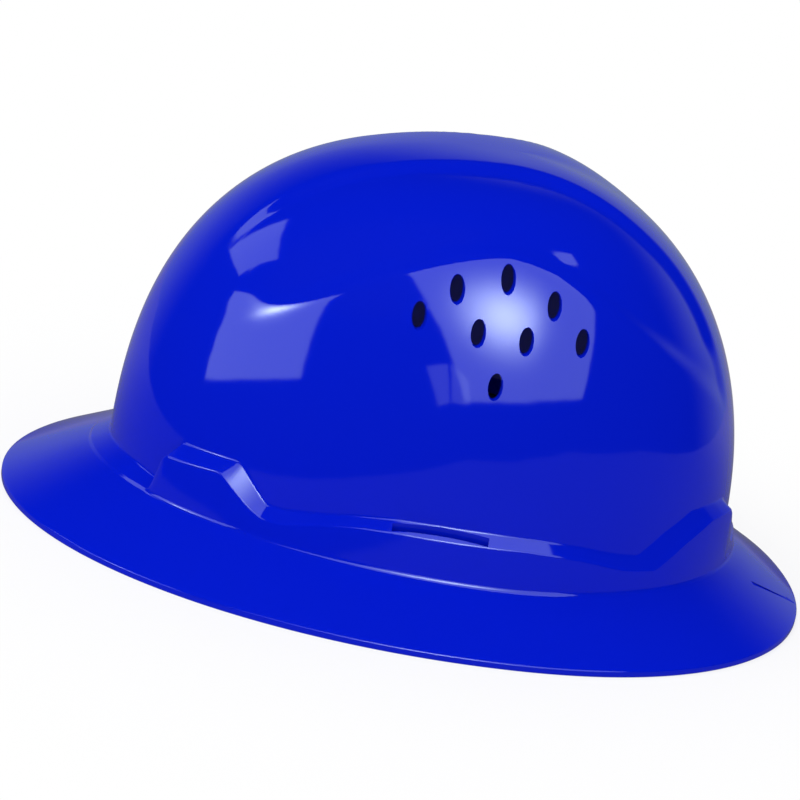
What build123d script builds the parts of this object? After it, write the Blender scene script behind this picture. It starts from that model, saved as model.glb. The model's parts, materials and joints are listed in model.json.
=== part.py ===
"""A full brim hard hat: a moulded shell with a four point suspension and a ratchet headband.

Lengths are millimetres. The hat rests on its rim on the XY plane, the brow points to -Y,
+X is the wearer's left, and the origin lies below the middle of the rim.
"""

import os
from math import atan2, cos, degrees, hypot, pi, radians, sin, sqrt

from build123d import *

os.makedirs("parts", exist_ok=True)

# Outline of the rim and of the belt around the foot of the dome
hat_length = 321.4
hat_width = 277.2
widest_station = 14.4
rim_front_share = 2.0
rim_rear_share = 2.13
rim_height = 2.4
belt_base_height = 19.0
belt_half_width = 109.5
belt_front_reach = 143.5
belt_rear_reach = 118.5
belt_front_share = 1.913
belt_rear_share = 1.883

# Dome, measured from its widest station and from the belt's base
dome_half_width = 104.6
dome_front_reach = 136.0
dome_rear_reach = 113.4
dome_height = 138.7
dome_shape_share = 1.89
side_profile_share = 3.3
front_profile_share = 2.58
rear_profile_share = 2.166

# Moulded walls
wall_thickness = 2.4
brim_thickness = 2.4
lip_width = 2.2
lip_depth = 1.0

# Ridge over the crown, side panels and the channels between them
channel_depth = 2.4
panel_arch_height = 120.0
panel_arch_fall = 47.0
panel_arch_station = 3.0
panel_arch_reach = 93.0
panel_arch_share = 1.5
panel_edge_width = 9.0
ridge_half_width = 27.5
ridge_tail_half_width = 46.5
ridge_flare_start = 6.0
ridge_flare_length = 60.0
crown_rise = 1.1
crown_spread = 2.0
crown_rise_station = 12.0
crown_rise_reach = 52.0
ridge_edge_width = 8.0
channel_front_station = -104.0
channel_fade_length = 52.0
channel_tail_height = 80.0
channel_tail_length = 12.0
channel_tail_share = 0.4

# Belt height lines: degrees from the brow, share of the belt's height at the side
belt_height = 19.0
belt_draft = 0.8
belt_cove = 2.2
ledge_line_shares = (
    (0, 0.28), (15.7, 0.27), (20.4, 0.2), (23.6, 0.15), (24.6, 0.68), (26, 1.15), (37.8, 1.22),
    (41, 0.89), (44.2, 0.58), (47.4, 0.58), (56.3, 0.74), (62.5, 0.88), (68.8, 0.97), (78.3, 1.01),
    (88.2, 1.02), (98.7, 0.99), (109, 0.88), (116, 0.76), (123.2, 0.67), (130, 1.1),
    (138.5, 1.45), (149, 1.43), (156, 1.39), (161.7, 0.55), (180, 0.55),
)
face_line_shares = (
    (0, 0.06), (20.4, 0.06), (23, 0.06), (24.2, 0.54), (25.9, 0.87), (36.3, 1.01), (39.1, 0.77),
    (42.8, 0.5), (45.6, 0.36), (49.4, 0.38), (56.8, 0.6), (63, 0.71), (70.9, 0.78), (82.4, 0.8),
    (95, 0.82), (103, 0.76), (109, 0.67), (118, 0.48), (127, 0.4), (135.4, 0.88),
    (143.6, 1.22), (149.6, 1.24), (154.5, 1.24), (160.2, 0.3), (180, 0.3),
)
belt_section_angles = (8, 34, 52, 73, 112, 168, 174)

# Vents of one side: places along the hat and heights above the belt's base
vent_length = 12.0
vent_width = 4.8
vent_centre_station = 2.7
vent_outer_offset = 30.0
vent_outer_height = 92.3
vent_upper_offset = 17.8
vent_upper_height = 103.6
vent_inner_offset = 8.8
vent_inner_height = 90.6
vent_top_height = 109.9
vent_low_height = 73.3

# Accessory slot behind the belt, one on each side
slot_length = 35.5
slot_width = 2.6
slot_angle = 78.2
slot_wall_gap = 0.2

# Suspension keys and the sockets that hold them
front_key_angle = 34.4
rear_key_angle = 147.0
key_width = 20.0
key_plate_width = 27.0
key_blade_thickness = 2.4
key_blade_height = 15.0
key_plate_thickness = 3.0
key_wall_gap = 2.0
key_clearance = 0.3
key_socket_inset = 1.4
key_socket_height = 17.0
key_shelf_thickness = 3.0
key_plate_height = 34.0
key_window_height = 4.0
key_window_level = 24.0

# Webbing over the crown
strap_width = 19.0
strap_thickness = 1.2
strap_crown_gap = 31.0
strap_crossing_gap = 0.3
strap_foot_height = 37.0
strap_shoulder_share = 0.72
strap_rise_share = 0.86
patch_size = 30.0
patch_thickness = 1.2
patch_gap = 0.75

# Headband around the brow, with a rail on each side to the rear keys
band_station = 6.0
band_half_width = 86.0
band_front_reach = 110.0
band_thickness = 2.0
temple_length = 10.0
band_foot = 10.0
band_height = 26.0
rail_foot = 24.0
rail_height = 12.0
rail_straight_length = 24.0
hanger_thickness = 1.8
hanger_width = 14.0
hanger_foot = 12.0
hanger_height = 22.0
hanger_hook_height = 7.0
rail_wall_gap = 12.0
stud_radius = 1.6
stud_head_radius = 3.0
stud_head_thickness = 1.0
stud_fit = 0.05
stud_inner_gap = 1.0
sweatband_thickness = 3.6
sweatband_angle = 62.0
sweatband_overhang = 1.0
seat_gap = 0.3

# Ratchet arms, two strips that pass one over the other behind the head
nape_radius = 82.0
arm_thickness = 1.4
arm_gap = 0.4
arm_height = 16.0
arm_tail = 9.0
nape_level = 24.0
loosen_travel = 10.0
tighten_travel = 14.0
rack_pitch = pi
rack_tooth_width = 1.14
pinion_tooth_count = 10
tooth_engagement = 0.8
tooth_clearance = 0.4
arm_end_wall = 4.0

# Temple rivets
rivet_radius = 2.0
rivet_head_radius = 4.5
rivet_head_thickness = 1.2
rivet_fit = 0.05
rivet_play = 1.0
rivet_inner_gap = 2.3

# Ratchet housing
housing_half_angle = 24.0
housing_wall = 3.0
housing_gap = 0.4
housing_flange = 2.6
housing_screw_radius = 0.8
housing_screw_angle = 20.0
nape_pad_thickness = 4.6
nape_pad_half_angle = 27.0
nape_pad_height = 25.0

# Knob
shaft_radius = 3.0
shaft_fit = 0.05
knob_radius = 19.0
knob_depth = 12.0
knob_gap = 0.5
knob_grip_count = 14
knob_grip_radius = 2.2
knob_recess_radius = 14.0
knob_recess_depth = 4.0
detent_ring_thickness = 1.6
detent_ring_width = 1.6
detent_finger_length = 2.4
knob_screw_radius = 1.5
knob_screw_head_radius = 3.0
knob_screw_head_thickness = 1.6

# Fineness of the dome's wall surface
surface_tolerance = 0.05
surface_steps = 30
surface_spread_share = 1.12
outline_steps = 36
cut_overrun = 5.0


def interpolate(table, angle):
    """Value of a table of places between its nearest two entries."""
    for (start, low), (end, high) in zip(table, table[1:]):
        if start <= angle <= end:
            return low + (high - low) * (angle - start) / (end - start)
    raise ValueError("angle outside the table")


def ease(share):
    """Smooth step from nothing to one."""
    held = min(max(share, 0), 1)
    return held * held * (3 - 2 * held)


def plan_radius(angle, half_width, front_reach, rear_reach, front_share, rear_share):
    """Distance of a rounded plan outline from the widest station, at an angle from the brow."""
    side = abs(sin(radians(angle)))
    ahead = cos(radians(angle))
    reach, share = (front_reach, front_share) if ahead > 0 else (rear_reach, rear_share)
    return ((side / half_width) ** share + (abs(ahead) / reach) ** share) ** (-1 / share)


def plan_point(angle, radius):
    """Point at an angle from the brow, around the widest station."""
    return (radius * sin(radians(angle)), widest_station - radius * cos(radians(angle)))


def rim_radius(angle, inset=0):
    """Plan radius of the rim, drawn in by an inset."""
    front_reach = hat_length / 2 + widest_station - inset
    rear_reach = hat_length / 2 - widest_station - inset
    half_width = hat_width / 2 - inset
    return plan_radius(angle, half_width, front_reach, rear_reach, rim_front_share, rim_rear_share)


def belt_radius(angle, inset=0):
    """Plan radius of the belt's base line, drawn in by an inset."""
    front_reach = belt_front_reach - inset
    rear_reach = belt_rear_reach - inset
    half_width = belt_half_width - inset
    return plan_radius(angle, half_width, front_reach, rear_reach, belt_front_share, belt_rear_share)


def wall_radius(angle, inset=0):
    """Plan radius of the dome's foot, drawn in by an inset."""
    front_reach = dome_front_reach - inset
    rear_reach = dome_rear_reach - inset
    half_width = dome_half_width - inset
    return plan_radius(angle, half_width, front_reach, rear_reach, dome_shape_share, dome_shape_share)


def closed_outline(radius_of, inset=0):
    """Points of a closed plan outline."""
    step = 360 / outline_steps
    return [plan_point(number * step, radius_of(number * step, inset)) for number in range(outline_steps)]


def relief(x, y, z):
    """How far the wall is drawn in between the crown ridge and the side panels."""
    along = y + widest_station
    distance = abs(along - panel_arch_station) / panel_arch_reach
    arch = panel_arch_height - panel_arch_fall * distance**panel_arch_share
    flare = ease((along - ridge_flare_start) / ridge_flare_length)
    crown = ease(1 - abs(along - crown_rise_station) / crown_rise_reach)
    ridge = ridge_half_width + (ridge_tail_half_width - ridge_half_width) * flare + crown_spread * crown
    above_panel = ease((z - arch) / panel_edge_width + 0.5)
    beside_ridge = ease((abs(x) - ridge) / ridge_edge_width + 0.5)
    behind_brow = ease((along - channel_front_station) / channel_fade_length)
    tail = ease((z - channel_tail_height) / channel_tail_length)
    above_tail = channel_tail_share + (1 - channel_tail_share) * tail
    channel = channel_depth * above_panel * beside_ridge * behind_brow * above_tail
    return channel - crown_rise * crown * (1 - beside_ridge)


def dome_point(across, along, inset):
    """Point of the dome's wall, in the direction that a flat map of the sphere gives."""
    spread = across * across + along * along
    side = 2 * across / (1 + spread)
    ahead = 2 * along / (1 + spread)
    up = (1 - spread) / (1 + spread)
    reach = dome_front_reach if ahead < 0 else dome_rear_reach
    end_share = front_profile_share if ahead < 0 else rear_profile_share
    level = side * side + ahead * ahead
    lengthwise = ahead * ahead / level if level else 0
    bulge = side_profile_share * (1 - lengthwise) + end_share * lengthwise
    plan = (abs(side) / (dome_half_width - inset)) ** dome_shape_share
    plan = (plan + (abs(ahead) / (reach - inset)) ** dome_shape_share) ** (1 / dome_shape_share)
    rise = max(up, 0) / (dome_height - inset)
    radius = (plan**bulge + rise**bulge) ** (-1 / bulge)
    drawn = relief(radius * side, radius * ahead, radius * up)
    radius = radius - drawn
    return Vector(radius * side, widest_station + radius * ahead, belt_base_height + radius * up)


def dome_body(inset):
    """Solid that fills the dome, up to its wall surface drawn in by an inset."""
    places = [surface_spread_share * (2 * step / surface_steps - 1) for step in range(surface_steps + 1)]
    rows = [[dome_point(across, along, inset) for across in places] for along in places]
    wall = Face.make_surface_from_array_of_points(rows, tol=surface_tolerance, max_deg=3)
    foot = belt_base_height - brim_thickness
    block = Pos(0, 0, foot) * Box(
        hat_width, hat_length, 2 * dome_height, align=(Align.CENTER, Align.CENTER, Align.MIN)
    )
    halves = split(block, bisect_by=wall, keep=Keep.ALL).solids()
    return halves.sort_by(SortBy.VOLUME)[0]


def wall_normal(angle):
    """Outward direction of the dome's foot at an angle from the brow."""
    step = 0.5
    x0, y0 = plan_point(angle - step, wall_radius(angle - step, wall_thickness))
    x1, y1 = plan_point(angle + step, wall_radius(angle + step, wall_thickness))
    length = hypot(x1 - x0, y1 - y0)
    return ((y1 - y0) / length, (x0 - x1) / length)


def wall_plane(angle):
    """Upright plane square to the inner wall at an angle from the brow: X points outwards, Y up."""
    x, y = plan_point(abs(angle), wall_radius(abs(angle), wall_thickness))
    out_x, out_y = wall_normal(abs(angle))
    side = 1 if angle > 0 else -1
    out = Vector(side * out_x, out_y, 0)
    return Plane(origin=(side * x, y, 0), x_dir=out, z_dir=out.cross(Vector(0, 0, 1)))


def band_depth(plane):
    """Distance from the inner wall to the outer face of the headband's oval, square to the wall."""
    a = band_half_width + band_thickness
    b = band_front_reach + band_thickness
    px, py = plane.origin.X / a, (plane.origin.Y - band_station) / b
    dx, dy = -plane.x_dir.X / a, -plane.x_dir.Y / b
    square = dx * dx + dy * dy
    half = px * dx + py * dy
    rest = px * px + py * py - 1
    return (-half - sqrt(half * half - square * rest)) / square


def nape_point(radius, angle):
    """Point of the ratchet arms' arc, at an angle from the rear, towards the wearer's left."""
    return (radius * sin(radians(angle)), band_station + radius * cos(radians(angle)))


def sector(inner, outer, start, end):
    """Closed ring sector around the nape arc's centre, angles from the rear towards the left."""
    CenterArc((0, band_station), inner, 90 - end, end - start)
    CenterArc((0, band_station), outer, 90 - end, end - start)
    Line(nape_point(inner, start), nape_point(outer, start))
    Line(nape_point(inner, end), nape_point(outer, end))


key_angles = {
    "front_left": front_key_angle,
    "front_right": -front_key_angle,
    "rear_left": rear_key_angle,
    "rear_right": -rear_key_angle,
}

# Shell: dome, belt with its pockets, and brim
dome_outside = dome_body(0)
dome_inside = dome_body(wall_thickness)
belt_angles = sorted(
    {angle for angle, share in ledge_line_shares}
    | {angle for angle, share in face_line_shares}
    | set(belt_section_angles)
)

with BuildPart() as belt:
    for angle in belt_angles:
        outward = (sin(radians(angle)), -cos(radians(angle)), 0)
        upright = Plane(
            origin=(0, widest_station, 0), x_dir=outward, z_dir=Vector(outward).cross(Vector(0, 0, 1))
        )
        foot = belt_base_height - brim_thickness
        core = wall_radius(angle, wall_thickness / 2)
        base = belt_radius(angle)
        face = base - belt_draft
        ledge = belt_base_height + belt_height * interpolate(ledge_line_shares, angle)
        brow = belt_base_height + belt_height * interpolate(face_line_shares, angle)
        skin = wall_radius(angle)
        slope = (belt_base_height - rim_height) / (rim_radius(angle) - base)
        with BuildSketch(upright):
            with BuildLine():
                Polyline(
                    (core, foot),
                    (base + belt_cove, foot - belt_cove * slope),
                    (base + belt_cove, belt_base_height - belt_cove * slope),
                    (base, belt_base_height + belt_draft),
                    (face, brow),
                    (skin, ledge),
                    (core, ledge),
                    close=True,
                )
            make_face()
    loft(ruled=True)
    mirror(about=Plane.YZ)

# Vents, accessory slots and key sockets, as the solids that they take away
vent_places = [
    (vent_centre_station + side * offset, belt_base_height + height)
    for offset, height in (
        (vent_outer_offset, vent_outer_height),
        (vent_upper_offset, vent_upper_height),
        (vent_inner_offset, vent_inner_height),
    )
    for side in (-1, 1)
]
vent_places.append((vent_centre_station, belt_base_height + vent_top_height))
vent_places.append((vent_centre_station, belt_base_height + vent_low_height))

with BuildPart() as holes:
    with BuildSketch(Plane.YZ):
        with Locations(*vent_places):
            Ellipse(vent_width / 2, vent_length / 2)
    extrude(amount=hat_width / 2, both=True)
    for angle in (-slot_angle, slot_angle):
        with BuildSketch(wall_plane(angle)):
            with Locations((wall_thickness + slot_wall_gap, belt_base_height - belt_height)):
                Rectangle(slot_width, 2 * belt_height + cut_overrun, align=(Align.MIN, Align.MIN))
        extrude(amount=slot_length / 2, both=True)
    for angle in key_angles.values():
        with BuildSketch(wall_plane(angle)):
            with Locations((key_socket_inset, belt_base_height - brim_thickness - cut_overrun)):
                Rectangle(
                    key_blade_thickness + 2 * key_clearance,
                    key_socket_height + cut_overrun,
                    align=(Align.MIN, Align.MIN),
                )
        extrude(amount=key_width / 2 + key_clearance, both=True)

with BuildPart() as shell:
    with BuildSketch(Plane.XY.offset(rim_height)):
        with BuildLine():
            Spline(*closed_outline(rim_radius), periodic=True)
        make_face()
    with BuildSketch(Plane.XY.offset(belt_base_height)):
        with BuildLine():
            Spline(*closed_outline(belt_radius), periodic=True)
        make_face()
    loft(ruled=True)
    with BuildSketch(Plane.XY):
        with BuildLine():
            Spline(*closed_outline(rim_radius), periodic=True)
        make_face()
    extrude(amount=rim_height)
    with BuildSketch(Plane.XY.offset(rim_height - lip_depth)):
        with BuildLine():
            Spline(*closed_outline(rim_radius, lip_width), periodic=True)
        make_face()
    with BuildSketch(Plane.XY.offset(belt_base_height - brim_thickness)):
        with BuildLine():
            Spline(*closed_outline(belt_radius, lip_width), periodic=True)
        make_face()
    loft(ruled=True, mode=Mode.SUBTRACT)
    with BuildSketch(Plane.XY):
        with BuildLine():
            Spline(*closed_outline(rim_radius, lip_width), periodic=True)
        make_face()
    extrude(amount=rim_height - lip_depth, mode=Mode.SUBTRACT)
    add(belt.part)
    add(dome_outside)
    add(dome_inside, mode=Mode.SUBTRACT)
    add(holes.part, mode=Mode.SUBTRACT)

shell.part.label = "shell"
export_step(shell.part, "parts/shell.step")

# Suspension keys: a blade in the shell's socket and a plate inside the wall
key_foot = belt_base_height - brim_thickness - key_clearance - key_shelf_thickness
plate_outside = -key_wall_gap
plate_inside = plate_outside - key_plate_thickness
blade_inside = key_socket_inset + key_clearance
blade_outside = blade_inside + key_blade_thickness

for name, angle in key_angles.items():
    plane = wall_plane(angle)
    with BuildPart() as key:
        with BuildSketch(plane):
            with BuildLine():
                Polyline(
                    (plate_inside, key_foot),
                    (blade_outside, key_foot),
                    (blade_outside, key_foot + key_shelf_thickness + key_blade_height),
                    (blade_inside, key_foot + key_shelf_thickness + key_blade_height),
                    (blade_inside, key_foot + key_shelf_thickness),
                    (plate_outside, key_foot + key_shelf_thickness),
                    (plate_outside, key_foot + key_plate_height),
                    (plate_inside, key_foot + key_plate_height),
                    close=True,
                )
            make_face()
        extrude(amount=key_width / 2, both=True)
        with BuildSketch(plane):
            with Locations(((plate_inside + plate_outside) / 2, key_foot + key_plate_height)):
                Rectangle(key_plate_thickness, key_window_level, align=(Align.CENTER, Align.MAX))
        extrude(amount=key_plate_width / 2, both=True)
        with BuildSketch(plane):
            window_centre = key_foot + key_window_level + key_window_height
            with Locations(((plate_inside + plate_outside) / 2, window_centre)):
                Rectangle(key_plate_thickness + cut_overrun, key_window_height)
        extrude(amount=strap_width / 2 + key_clearance, both=True, mode=Mode.SUBTRACT)
    key.part.label = f"suspension_key_{name}"
    export_step(key.part, f"parts/suspension_key_{name}.step")

# Hangers: hooks that carry the headband from the keys, each with a stud
rear_key = wall_plane(rear_key_angle)
rail_end = rear_key.origin - rear_key.x_dir * rail_wall_gap
band_outside = band_half_width + band_thickness
rail_start = band_station + rail_straight_length
rail_fall = band_outside - rail_end.X
rail_radius = (rail_fall**2 + (rail_end.Y - rail_start) ** 2) / (2 * rail_fall)
rail_angle = degrees(atan2(rail_end.Y - rail_start, rail_end.X - band_outside + rail_radius))
hook_outside = plate_inside - seat_gap
rail_lean = abs(cos(radians(rail_angle)) * rear_key.x_dir.Y - sin(radians(rail_angle)) * rear_key.x_dir.X)
band_depths = {}
leg_places = {}
for name, angle in key_angles.items():
    front = abs(angle) < 90
    band_depths[name] = band_depth(wall_plane(angle)) if front else rail_wall_gap
    leg_places[name] = seat_gap - band_depths[name] + (0 if front else rail_lean * hanger_width / 2)
stud_level = rail_foot + rail_height / 2

with BuildPart() as stud_holes:
    for name, angle in key_angles.items():
        plane = wall_plane(angle)
        with BuildSketch(Plane(origin=plane.origin + Vector(0, 0, stud_level), z_dir=plane.x_dir)):
            Circle(stud_radius + stud_fit)
        extrude(amount=-band_depths[name] - cut_overrun)

for name, angle in key_angles.items():
    plane = wall_plane(angle)
    leg_inside = leg_places[name]
    leg_outside = leg_inside + hanger_thickness
    with BuildPart() as hanger:
        with BuildSketch(plane):
            with BuildLine():
                Polyline(
                    (leg_inside, hanger_foot),
                    (hook_outside, hanger_foot),
                    (hook_outside, hanger_foot + hanger_hook_height),
                    (hook_outside - hanger_thickness, hanger_foot + hanger_hook_height),
                    (hook_outside - hanger_thickness, hanger_foot + hanger_thickness),
                    (leg_outside, hanger_foot + hanger_thickness),
                    (leg_outside, hanger_foot + hanger_height),
                    (leg_inside, hanger_foot + hanger_height),
                    close=True,
                )
            make_face()
        extrude(amount=hanger_width / 2, both=True)
        add(stud_holes.part, mode=Mode.SUBTRACT)
    hanger.part.label = f"hanger_{name}"
    export_step(hanger.part, f"parts/hanger_{name}.step")


# Studs that hold the hangers to the headband and its rails
with BuildPart() as hanger_studs:
    for name, angle in key_angles.items():
        plane = wall_plane(angle)
        outer_face = leg_places[name] + hanger_thickness + stud_fit
        inner_face = -band_depths[name] - band_thickness - stud_inner_gap
        level = Vector(0, 0, stud_level)
        with BuildSketch(Plane(origin=plane.origin + plane.x_dir * outer_face + level, z_dir=plane.x_dir)):
            Circle(stud_head_radius)
        extrude(amount=stud_head_thickness)
        with BuildSketch(Plane(origin=plane.origin + plane.x_dir * inner_face + level, z_dir=plane.x_dir)):
            Circle(stud_radius)
        extrude(amount=outer_face - inner_face)
        with BuildSketch(Plane(origin=plane.origin + plane.x_dir * inner_face + level, z_dir=plane.x_dir)):
            Circle(stud_head_radius)
        extrude(amount=-stud_head_thickness)
hanger_studs.part.label = "hanger_studs"
export_step(hanger_studs.part, "parts/hanger_studs.step")

# Headband: an oval brow band with temple ends, and a rail on each side to the rear hangers
rail_tail = rail_angle + degrees((hanger_width / 2 + stud_radius) / rail_radius)
rail_centre = (band_outside - rail_radius, rail_start)
rail_inner = rail_radius - band_thickness

with BuildPart() as headband:
    with BuildSketch(Plane.XY.offset(band_foot)):
        with Locations((0, band_station)):
            Ellipse(band_outside, band_front_reach + band_thickness)
            Ellipse(band_half_width, band_front_reach, mode=Mode.SUBTRACT)
            Rectangle(
                2 * band_outside, 2 * band_outside, align=(Align.CENTER, Align.MIN), mode=Mode.SUBTRACT
            )
        for side in (-1, 1):
            with Locations((side * (band_half_width + band_thickness / 2), band_station)):
                Rectangle(band_thickness, temple_length, align=(Align.CENTER, Align.MIN))
    extrude(amount=band_height)
    with BuildSketch(Plane.XY.offset(rail_foot)):
        with BuildLine():
            Line((band_outside, band_station), (band_outside, rail_start))
            outer_arc = CenterArc(rail_centre, rail_radius, 0, rail_tail)
            inner_arc = CenterArc(rail_centre, rail_inner, 0, rail_tail)
            Line(outer_arc @ 1, inner_arc @ 1)
            Line((band_half_width, rail_start), (band_half_width, band_station))
            Line((band_half_width, band_station), (band_outside, band_station))
        make_face()
        mirror(about=Plane.YZ)
    extrude(amount=rail_height)
    with BuildSketch(Plane.YZ):
        with Locations((band_station, nape_level)):
            Circle(rivet_radius + rivet_fit)
    extrude(amount=hat_width / 2, both=True, mode=Mode.SUBTRACT)
    add(stud_holes.part, mode=Mode.SUBTRACT)
headband.part.label = "headband"
export_step(headband.part, "parts/headband.step")

# Sweatband: a foam brow pad inside the headband
pad_outside = band_half_width - seat_gap
pad_reach = band_front_reach - seat_gap
pad_cut = band_station - band_front_reach * cos(radians(sweatband_angle))

with BuildPart() as sweatband:
    with BuildSketch(Plane.XY.offset(band_foot - sweatband_overhang)):
        with Locations((0, band_station)):
            Ellipse(pad_outside, pad_reach)
            Ellipse(pad_outside - sweatband_thickness, pad_reach - sweatband_thickness, mode=Mode.SUBTRACT)
        with Locations((0, pad_cut)):
            Rectangle(
                2 * band_outside, 2 * hat_length, align=(Align.CENTER, Align.MIN), mode=Mode.SUBTRACT
            )
    extrude(amount=band_height + 2 * sweatband_overhang)
    for angle in (front_key_angle, -front_key_angle):
        plane = wall_plane(angle)
        side = 1 if angle > 0 else -1
        name = "front_left" if side > 0 else "front_right"
        back = -band_depths[name] - band_thickness + seat_gap
        behind_band = plane.origin + plane.x_dir * back + Vector(0, 0, stud_level)
        with BuildSketch(Plane(origin=behind_band, z_dir=plane.x_dir)):
            Circle(stud_head_radius + seat_gap)
        extrude(amount=-stud_inner_gap - stud_head_thickness - 2 * seat_gap, mode=Mode.SUBTRACT)
sweatband.part.label = "sweatband"
export_step(sweatband.part, "parts/sweatband.step")

# Crown straps: flat webbing from each front key over the crown to the far rear key
def strap_foot(angle, across):
    """Plan place of a strap's foot, inside its key and clear of it for the strap's full width."""
    plane = wall_plane(angle)
    lean = abs(plane.x_dir.cross(across).Z)
    gap = key_wall_gap + key_plate_thickness + seat_gap + strap_thickness + lean * strap_width / 2
    return plane.origin - plane.x_dir * gap


strap_crown = belt_base_height + dome_height - wall_thickness - strap_crown_gap
crown_places = []

for name, side, lift in (("left", 1, 0), ("right", -1, strap_thickness + strap_crossing_gap)):
    front_key = wall_plane(side * front_key_angle)
    far_key = wall_plane(-side * rear_key_angle)
    across = (front_key.origin - far_key.origin).normalized()
    front = strap_foot(side * front_key_angle, across)
    rear = strap_foot(-side * rear_key_angle, across)
    crown = front + (rear - front) * (front.X / (front.X - rear.X))
    run = (front - rear).normalized()
    upright = Plane(origin=crown, x_dir=run, z_dir=run.cross(Vector(0, 0, 1)))
    ahead = (front - crown).length
    behind = (rear - crown).length
    top = strap_crown + lift
    with BuildPart() as crown_strap:
        with BuildSketch(upright):
            with BuildLine():
                for inset in (0, strap_thickness):
                    peak = top - inset
                    rise = (peak - strap_foot_height) * strap_rise_share
                    for direction, reach in ((1, ahead - inset), (-1, behind - inset)):
                        Bezier(
                            (direction * reach, strap_foot_height),
                            (direction * reach, strap_foot_height + rise),
                            (direction * reach * strap_shoulder_share, peak),
                            (0, peak),
                        )
                for direction, reach in ((1, ahead), (-1, behind)):
                    Line(
                        (direction * reach, strap_foot_height),
                        (direction * (reach - strap_thickness), strap_foot_height),
                    )
            make_face()
        extrude(amount=strap_width / 2, both=True)
    crown_strap.part.label = f"crown_strap_{name}"
    export_step(crown_strap.part, f"parts/crown_strap_{name}.step")
    crown_places.append(crown)

# Patch sewn below the crossing of the straps
with BuildPart() as crown_patch:
    patch_top = strap_crown - strap_thickness - patch_gap
    with BuildSketch(Plane.XY.offset(patch_top - patch_thickness)):
        with Locations((0, crown_places[0].Y)):
            RectangleRounded(patch_size, patch_size, patch_size / 8)
    extrude(amount=patch_thickness)
crown_patch.part.label = "crown_patch"
export_step(crown_patch.part, "parts/crown_patch.step")

# Ratchet arms: one inside the other, each with a toothed slot for the pinion
pitch_radius = pinion_tooth_count * rack_pitch / (2 * pi)
pinion_tip = pitch_radius + tooth_engagement / 2
rack_tip = pitch_radius - tooth_engagement / 2
pinion_root = rack_tip - tooth_clearance
slot_edge = pinion_tip + tooth_clearance
outer_arm_radius = nape_radius + arm_thickness + arm_gap
mean_radius = (nape_radius + outer_arm_radius + arm_thickness) / 2
slot_start = -loosen_travel - slot_edge
slot_end = tighten_travel + slot_edge
arm_foot = nape_level - arm_height / 2

for name, side, inner, tooth_side in (("left", 1, nape_radius, -1), ("right", -1, outer_arm_radius, 1)):
    outer = inner + arm_thickness
    tip_angle = degrees((slot_start - arm_end_wall) / mean_radius)
    tail_angle = 90 + degrees(arm_tail / mean_radius)
    with BuildPart() as arm:
        with BuildSketch(Plane.XY.offset(arm_foot)):
            with BuildLine():
                sector(inner, outer, *sorted((side * tip_angle, side * tail_angle)))
            make_face()
        extrude(amount=arm_height)
        plain_edge = -tooth_side * slot_edge
        toothed_edge = tooth_side * rack_tip
        slot_turns = (side * degrees(slot_start / mean_radius), side * degrees(slot_end / mean_radius))
        with BuildSketch(Plane.XY.offset(nape_level + min(plain_edge, toothed_edge))):
            with BuildLine():
                sector(inner - arm_gap, outer + arm_gap, *sorted(slot_turns))
            make_face()
        extrude(amount=abs(toothed_edge - plain_edge), mode=Mode.SUBTRACT)
        first = int((slot_start + rack_pitch / 2) / rack_pitch)
        last = int((slot_end - rack_pitch / 2) / rack_pitch)
        for number in range(first, last + 1):
            turn = side * degrees(number * rack_pitch / mean_radius)
            x, y = nape_point((inner + outer) / 2, turn)
            level = nape_level + tooth_side * (rack_tip + slot_edge) / 2
            with Locations(Location((x, y, level), (0, 0, -turn))):
                Box(
                    rack_pitch - rack_tooth_width,
                    arm_thickness + 2 * arm_gap,
                    slot_edge - rack_tip,
                    mode=Mode.SUBTRACT,
                )
        with BuildSketch(Plane.YZ):
            with Locations((band_station, nape_level)):
                SlotCenterToCenter(2 * rivet_play, 2 * (rivet_radius + seat_gap))
        extrude(amount=side * hat_width / 2, mode=Mode.SUBTRACT)
    arm.part.label = f"ratchet_arm_{name}"
    export_step(arm.part, f"parts/ratchet_arm_{name}.step")

# Temple rivets, the pivots of the nape assembly
rivet_inside = nape_radius - rivet_inner_gap
with BuildPart() as temple_rivets:
    with BuildSketch(Plane.YZ.offset(rivet_inside)):
        with Locations((band_station, nape_level)):
            Circle(rivet_radius)
    extrude(amount=band_outside + seat_gap - rivet_inside)
    with BuildSketch(Plane.YZ.offset(rivet_inside)):
        with Locations((band_station, nape_level)):
            Circle(rivet_head_radius)
    extrude(amount=-rivet_head_thickness)
    with BuildSketch(Plane.YZ.offset(band_outside + seat_gap)):
        with Locations((band_station, nape_level)):
            Circle(rivet_head_radius)
    extrude(amount=rivet_head_thickness)
    mirror(about=Plane.YZ)
temple_rivets.part.label = "temple_rivets"
export_step(temple_rivets.part, "parts/temple_rivets.step")

# Ratchet housing: a base against the nape and a cover around the arms
base_outside = nape_radius - housing_gap
base_inside = base_outside - housing_wall
cover_inside = outer_arm_radius + arm_thickness + housing_gap
cover_outside = cover_inside + housing_wall
housing_inner_height = arm_height + 2 * housing_gap
housing_height = housing_inner_height + 2 * housing_flange
housing_foot = nape_level - housing_height / 2
screw_level = (housing_inner_height + housing_flange) / 2
shaft_axis = Plane(origin=(0, band_station, nape_level), x_dir=(0, 0, 1), z_dir=(0, 1, 0))

with BuildPart() as screw_holes:
    for turn in (-housing_screw_angle, housing_screw_angle):
        for level in (-screw_level, screw_level):
            x, y = nape_point(base_inside, turn)
            out = Vector(sin(radians(turn)), cos(radians(turn)), 0)
            with BuildSketch(Plane(origin=(x, y, nape_level + level), z_dir=out)):
                Circle(housing_screw_radius + shaft_fit)
            extrude(amount=cover_outside - base_inside + cut_overrun)

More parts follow.
